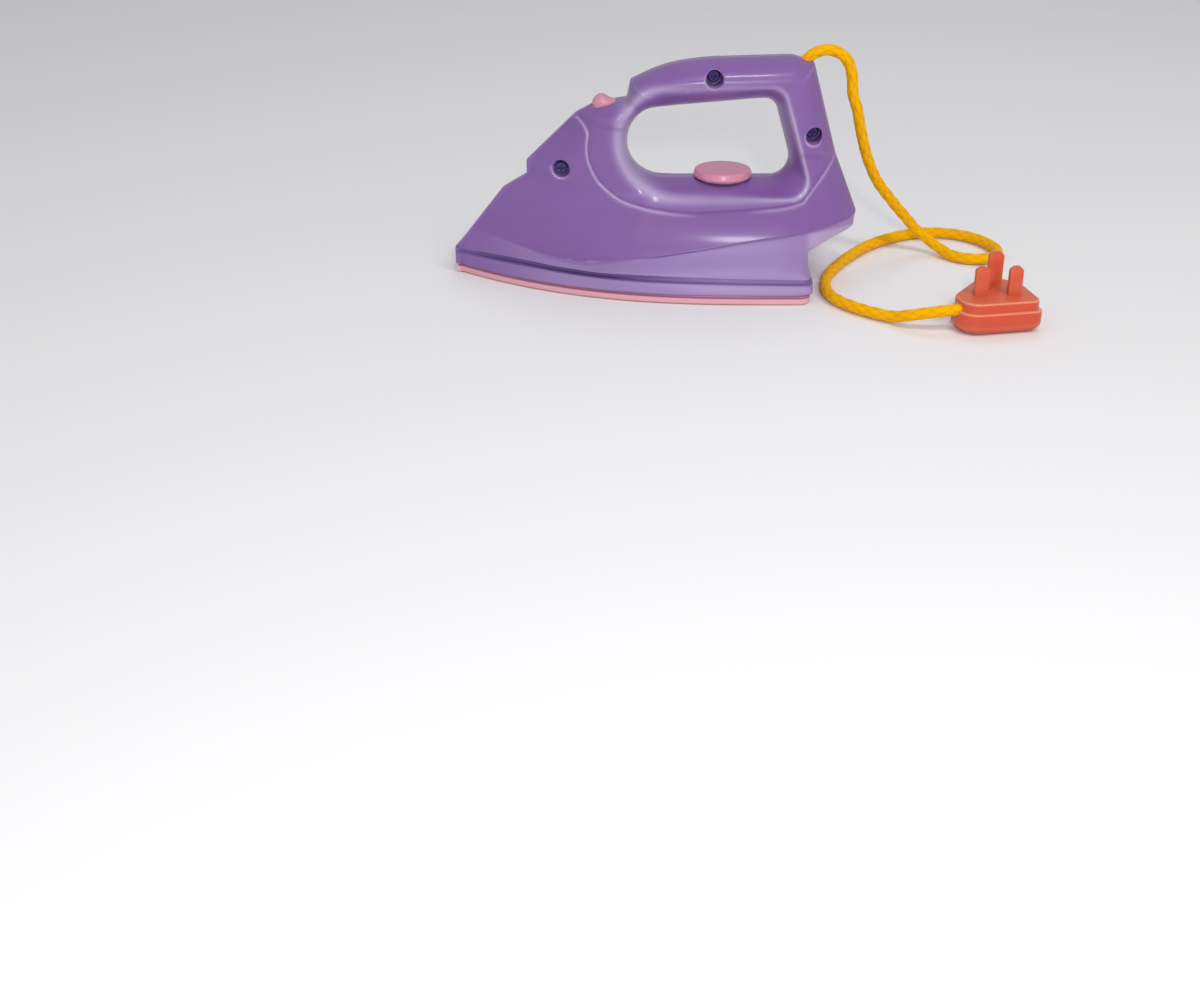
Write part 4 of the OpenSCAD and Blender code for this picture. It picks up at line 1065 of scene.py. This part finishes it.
# the rims of both tiers have a painted highlight
baseTop, faceTop = plugSetting["baseHeight"], plugSetting["baseHeight"] + plugSetting["faceHeight"]
(baseFrom, baseOver), (faceFrom, faceOver) = plugSetting["baseHighlight"], plugSetting["faceHighlight"]
mark(plugBasePiece, "paintedLight", eased((places(plugBasePiece)[2] - baseTop + baseFrom) / baseOver))
mark(plugFacePiece, "paintedLight", np.exp(-((places(plugFacePiece)[2] - faceTop + faceFrom) / faceOver) ** 2))
cordLeave, cordOut = cordExit()
handleKnot = stopperKnot("handleKnot", cordLeave - cordOut * cordSetting["knotDepth"], -cordOut,
                         cordSetting["knotSize"])
plugAlong = onPlug(1, 0, 0) - onPlug(0, 0, 0)
plugKnot = stopperKnot("plugKnot", onPlug(plugSetting["knotU"], plugSetting["entryV"], plugSetting["baseHeight"]),
                       plugAlong, plugSetting["knotSize"])
for piece, node, slot in ((plugBasePiece, "plug_base", "plug"), (plugFacePiece, "plug_face", "plug"),
                          (handleKnot, "cord_knot", "rope"), (plugKnot, "plug_knot", "rope")):
    attach(piece, "iron", node, slot)
report("plug and knots")


# Shared effects

def nodeGroup(name, inputs, outputs):
    group = bpy.data.node_groups.new(name, "ShaderNodeTree")
    for label, kind, value in inputs:
        socket = group.interface.new_socket(label, in_out="INPUT", socket_type=kind)
        socket.default_value = value
    for label, kind in outputs:
        group.interface.new_socket(label, in_out="OUTPUT", socket_type=kind)
    return group, group.nodes.new("NodeGroupInput"), group.nodes.new("NodeGroupOutput")


def addNode(tree, kind, **values):
    node = tree.nodes.new(kind)
    for key, value in values.items():
        setattr(node, key, value)
    return node


def feed(tree, value, socket):
    # an output is linked to the socket, and a plain value is set on it
    if isinstance(value, bpy.types.NodeSocket):
        tree.links.new(value, socket)
    elif value is not None:
        socket.default_value = value


def mathNode(tree, operation, a, b=None, clamp=False):
    node = addNode(tree, "ShaderNodeMath", operation=operation, use_clamp=clamp)
    feed(tree, a, node.inputs[0])
    feed(tree, b, node.inputs[1])
    return node.outputs[0]


def noiseNode(tree, coord, scale, detail=3.0, rough=0.55):
    node = addNode(tree, "ShaderNodeTexNoise")
    for key, value in (("Vector", coord), ("Scale", scale), ("Detail", detail), ("Roughness", rough)):
        feed(tree, value, node.inputs[key])
    return node.outputs["Fac"]


# noise scales are in waves a metre, and the masks read the surface's pointiness, which is 0.5 where it is flat
grainSetting = dict(scale=900.0, wave=0.35, slow=46.0, mottle=120.0, mottleRough=0.65)
edgeAndHollowSetting = dict(low=0.51, high=0.56, breaks=160.0, breakShare=0.6, hollow=0.495, hollowOver=0.06)


def makeMouldGrain(setting):
    # fine satin texture of a moulded surface, with slow waves of uneven cooling
    group, source, sink = nodeGroup(
        "mouldGrain", [("Scale", "NodeSocketFloat", setting["scale"]), ("Wave", "NodeSocketFloat", setting["wave"])],
        [("Height", "NodeSocketFloat"), ("Mottle", "NodeSocketFloat")])
    coord = addNode(group, "ShaderNodeTexCoord").outputs["Object"]
    fine = noiseNode(group, coord, source.outputs["Scale"], 2.0)
    slow = noiseNode(group, coord, setting["slow"], 2.0)
    height = mathNode(group, "ADD", fine, mathNode(group, "MULTIPLY", slow, source.outputs["Wave"]))
    group.links.new(height, sink.inputs["Height"])
    group.links.new(noiseNode(group, coord, setting["mottle"], 4.0, setting["mottleRough"]), sink.inputs["Mottle"])
    return group


def makeEdgeWearLightAndShade(setting):
    # mask that rises on raised edges, broken up, for edge colour that is partly wear and partly painted highlight,
    # and one that rises in hollows, for painted shade
    group, source, sink = nodeGroup(
        "edgeWearLightAndShade", [("Low", "NodeSocketFloat", setting["low"]), ("High", "NodeSocketFloat", setting["high"])],
        [("Edge", "NodeSocketFloat"), ("Hollow", "NodeSocketFloat")])
    coord = addNode(group, "ShaderNodeTexCoord").outputs["Object"]
    point = addNode(group, "ShaderNodeNewGeometry").outputs["Pointiness"]
    span = mathNode(group, "SUBTRACT", source.outputs["High"], source.outputs["Low"])
    raised = mathNode(group, "DIVIDE", mathNode(group, "SUBTRACT", point, source.outputs["Low"]), span, True)
    broken = mathNode(group, "MULTIPLY", noiseNode(group, coord, setting["breaks"], 3.0), setting["breakShare"])
    broken = mathNode(group, "ADD", broken, setting["breakShare"], True)
    group.links.new(mathNode(group, "MULTIPLY", raised, broken, True), sink.inputs["Edge"])
    below = mathNode(group, "SUBTRACT", setting["hollow"], point)
    group.links.new(mathNode(group, "DIVIDE", below, setting["hollowOver"], True), sink.inputs["Hollow"])
    return group


mouldGrain, edgeWearLightAndShade = makeMouldGrain(grainSetting), makeEdgeWearLightAndShade(edgeAndHollowSetting)


def srgb(r, g, b):
    linear = [(c / 255 / 12.92 if c / 255 <= 0.04045 else ((c / 255 + 0.055) / 1.055) ** 2.4) for c in (r, g, b)]
    return (*linear, 1.0)


def mixColour(tree, factor, a, b):
    node = addNode(tree, "ShaderNodeMix", data_type="RGBA")
    for key, value in (("Factor", factor), (6, a), (7, b)):  # 6 and 7 are the two colours
        feed(tree, value, node.inputs[key])
    return node.outputs[2]


def placeGroup(tree, group, **values):
    node = addNode(tree, "ShaderNodeGroup", node_tree=group)
    for key, value in values.items():
        node.inputs[key].default_value = value
    return node.outputs


def addBump(tree, shader, height, strength, distance):
    bump = addNode(tree, "ShaderNodeBump")
    bump.inputs["Strength"].default_value, bump.inputs["Distance"].default_value = strength, distance * mm
    tree.links.new(height, bump.inputs["Height"])
    tree.links.new(bump.outputs["Normal"], shader.inputs["Normal"])


def newMaterial(name):
    material = bpy.data.materials.new(name)
    material.use_nodes = True
    tree = material.node_tree
    return material, tree, tree.nodes["Principled BSDF"]


# Finishes of the moulded pieces: colour, colour in its patches, edge colour that is partly wear and partly painted
# highlight, painted shade in hollows, tones of marked places, gloss
plainFinish = dict(rough=0.34, roughPatch=0.08, grain=900.0, wave=0.4, bump=0.10, bumpStrength=0.25, coat=0.2,
                   coatRough=0.2, hollowShare=0.5, edgeShare=0.6, edgeGloss=0.08, satinRough=0.02, ior=1.5)
finishes = dict(
    purpleShell=dict(
        plainFinish, base=srgb(124, 85, 154), patch=srgb(130, 91, 159), edge=srgb(172, 142, 194),
        hollow=srgb(94, 62, 128), rough=0.36, grain=850.0, wave=0.5, bump=0.12, coat=0.3, coatRough=0.15,
        # the satin tone is lighter and greyer, partly the satin finish and partly painted light; the groove tone is
        # painted shade; the last tone is a painted highlight and reflection
        tones=[("satinAndPaintedLight", 1.0, srgb(154, 127, 180)), ("grooveShade", 0.7, srgb(96, 64, 132)),
               ("paintedLight", 0.7, srgb(206, 190, 222))]),
    pinkTrim=dict(
        plainFinish, base=srgb(208, 136, 160), patch=srgb(214, 144, 166), edge=srgb(240, 184, 200),
        hollow=srgb(184, 102, 136), tones=[]),
    orangePlug=dict(
        plainFinish, base=srgb(206, 68, 34), patch=srgb(212, 78, 42), edge=srgb(240, 156, 116),
        # the plug's rims take a painted highlight
        hollow=srgb(176, 54, 28), rough=0.36, coatRough=0.22, tones=[("paintedLight", 0.7, srgb(246, 166, 126))]),
    rosePlate=dict(
        plainFinish, base=srgb(224, 162, 178), patch=srgb(228, 168, 182), edge=srgb(246, 194, 208),
        # painted shade under the lip, and tan at the foot
        hollow=srgb(186, 92, 122), tones=[("shade", 0.9, srgb(128, 54, 92)), ("foot", 0.8, srgb(222, 158, 146))]))


def mouldedPlastic(name, look):
    material, tree, shader = newMaterial(name)
    times = lambda a, b: mathNode(tree, "MULTIPLY", a, b)
    grain, edgeAndHollow = placeGroup(tree, mouldGrain, Scale=look["grain"], Wave=look["wave"]), placeGroup(tree, edgeWearLightAndShade)
    colour = mixColour(tree, grain["Mottle"], look["base"], look["patch"])
    satinAndPaintedLight = None
    for key, strength, tone in look["tones"]:
        share = addNode(tree, "ShaderNodeAttribute", attribute_name=key).outputs["Fac"]
        satinAndPaintedLight = share if key == "satinAndPaintedLight" else satinAndPaintedLight
        colour = mixColour(tree, times(share, strength), colour, tone)
    # painted shade in hollows, and raised edges lighter, partly wear and partly painted highlight
    colour = mixColour(tree, times(edgeAndHollow["Hollow"], look["hollowShare"]), colour, look["hollow"])
    colour = mixColour(tree, times(edgeAndHollow["Edge"], look["edgeShare"]), colour, look["edge"])
    tree.links.new(colour, shader.inputs["Base Color"])
    rough = mathNode(tree, "ADD", times(grain["Mottle"], look["roughPatch"]), look["rough"])
    rough = mathNode(tree, "SUBTRACT", rough, times(edgeAndHollow["Edge"], look["edgeGloss"]))
    if satinAndPaintedLight is None:
        shader.inputs["Coat Weight"].default_value = look["coat"]
    else:  # satin places are a little rougher and have no coat
        rough = mathNode(tree, "ADD", rough, times(satinAndPaintedLight, look["satinRough"]))
        gloss = times(mathNode(tree, "SUBTRACT", 1.0, satinAndPaintedLight), look["coat"])
        tree.links.new(gloss, shader.inputs["Coat Weight"])
    tree.links.new(rough, shader.inputs["Roughness"])
    addBump(tree, shader, grain["Height"], look["bumpStrength"], look["bump"])
    shader.inputs["Coat Roughness"].default_value = look["coatRough"]
    shader.inputs["IOR"].default_value = look["ior"]
    return material


# deep is a painted shade for the braid's low places
ropeLook = dict(crown=srgb(250, 186, 4), strand=srgb(242, 172, 0), deep=srgb(206, 134, 0), deepBelow=0.7,
                deepShare=0.9, rough=0.72, roughPatch=0.12, fibre=2600.0, wave=0.2, bump=0.15, bumpStrength=0.6,
                specular=0.1, sheen=0.06, sheenRough=0.4)


def amberRope(look):
    material, tree, shader = newMaterial("amberRope")
    lay = addNode(tree, "ShaderNodeAttribute", attribute_name="lay").outputs["Fac"]
    grain = placeGroup(tree, mouldGrain, Scale=look["fibre"], Wave=look["wave"])
    body = mixColour(tree, grain["Mottle"], look["strand"], look["crown"])
    # low places of the braid take the deep colour, a painted shade
    depth = mathNode(tree, "SUBTRACT", look["deepBelow"], lay, True)
    depth = mathNode(tree, "MULTIPLY", depth, look["deepShare"], True)
    tree.links.new(mixColour(tree, depth, body, look["deep"]), shader.inputs["Base Color"])
    rough = mathNode(tree, "ADD", mathNode(tree, "MULTIPLY", grain["Mottle"], look["roughPatch"]), look["rough"])
    tree.links.new(rough, shader.inputs["Roughness"])
    addBump(tree, shader, grain["Height"], look["bumpStrength"], look["bump"])
    shader.inputs["Specular IOR Level"].default_value = look["specular"]
    shader.inputs["Sheen Weight"].default_value = look["sheen"]
    shader.inputs["Sheen Roughness"].default_value = look["sheenRough"]
    return material


steelLook = dict(base=srgb(168, 166, 170), worn=srgb(196, 194, 198), rough=0.2, roughPatch=0.2, scratch=420.0,
                 wave=0.6, bump=0.05, bumpStrength=0.2, metal=1.0)
# blackened steel for the case screws, tinted dark violet as painted shade of the deep wells
blackWellShadeLook = dict(steelLook, base=srgb(58, 44, 112), worn=srgb(74, 60, 132), rough=0.32, metal=0.3)


def plainSteel(name, look):
    material, tree, shader = newMaterial(name)
    grain, edgeAndHollow = placeGroup(tree, mouldGrain, Scale=look["scratch"], Wave=look["wave"]), placeGroup(tree, edgeWearLightAndShade)
    tree.links.new(mixColour(tree, edgeAndHollow["Edge"], look["base"], look["worn"]), shader.inputs["Base Color"])
    rough = mathNode(tree, "ADD", mathNode(tree, "MULTIPLY", grain["Mottle"], look["roughPatch"]), look["rough"])
    tree.links.new(rough, shader.inputs["Roughness"])
    addBump(tree, shader, grain["Height"], look["bumpStrength"], look["bump"])
    shader.inputs["Metallic"].default_value = look["metal"]
    return material


def dress(obj, material):
    obj.data.materials.clear()
    obj.data.materials.append(material)


plastics = {name: mouldedPlastic(name, look) for name, look in finishes.items()}
for material, pieces in (
        (plastics["purpleShell"], (leftShell, rightShell)), (plastics["pinkTrim"], (dialPiece, buttonPiece)),
        (plastics["orangePlug"], (plugBasePiece, plugFacePiece)), (plastics["rosePlate"], (platePiece,)),
        (amberRope(ropeLook), (cordPiece, handleKnot, plugKnot)),
        (plainSteel("blackSteelWellShade", blackWellShadeLook), (nodes["case_screws"],)),
        (plainSteel("plainSteel", steelLook),
         (springPiece, nodes["dial_washer"], nodes["dial_screw"], nodes["plug_screw"]))):
    for piece in pieces:
        dress(piece, material)
report("finishes")


# Pale floor and plain studio light, places and sizes in metres: each lamp's place, size and power, and which shine
studio = dict(floor=srgb(240, 239, 240), floorRough=0.8, floorSize=8.0, floorLevel=-0.0003, world=(0.92, 0.93, 0.95),
              worldLight=0.46, aim=(0.01, 0, 0.045), shining=("top", "flash"),
              lamps=[("key", (0.6, -0.75, 1.0), 0.5, 3.9), ("fill", (-0.9, -0.6, 0.8), 0.8, 0.7),
                     ("back", (0.2, 0.7, 1.2), 0.7, 2.0), ("top", (0.09, -0.6, 1.0), 0.12, 1.7),
                     ("flash", (0.03, -0.76, 0.33), 0.05, 1.6)])


def makeStudio(setting):
    half, level = setting["floorSize"] / 2, setting["floorLevel"]
    mesh = bpy.data.meshes.new("paleFloor")
    corners = ((-1, -1), (1, -1), (1, 1), (-1, 1))
    mesh.from_pydata([(half * x, half * y, level) for x, y in corners], [], [(0, 1, 2, 3)])
    floor = linkObject("paleFloor", mesh)
    material, _, shader = newMaterial("paleFloor")
    shader.inputs["Base Color"].default_value = setting["floor"]
    shader.inputs["Roughness"].default_value = setting["floorRough"]
    dress(floor, material)
    world = bpy.data.worlds.new("studioWorld")
    world.use_nodes = True
    sky = world.node_tree.nodes["Background"]
    sky.inputs["Color"].default_value = (*setting["world"], 1)
    sky.inputs["Strength"].default_value = setting["worldLight"]
    scene.world = world
    for name, place, size, power in setting["lamps"]:
        lamp = bpy.data.lights.new(name, "AREA")
        lamp.shape, lamp.size, lamp.energy = "DISK", size, power
        obj = linkObject(name, lamp)
        obj.visible_glossy = name in setting["shining"]
        obj.location = place
        obj.rotation_euler = (Vector(setting["aim"]) - Vector(place)).to_track_quat("-Z", "Y").to_euler()


makeStudio(studio)
scene.view_settings.view_transform = "Standard"
report("studio")
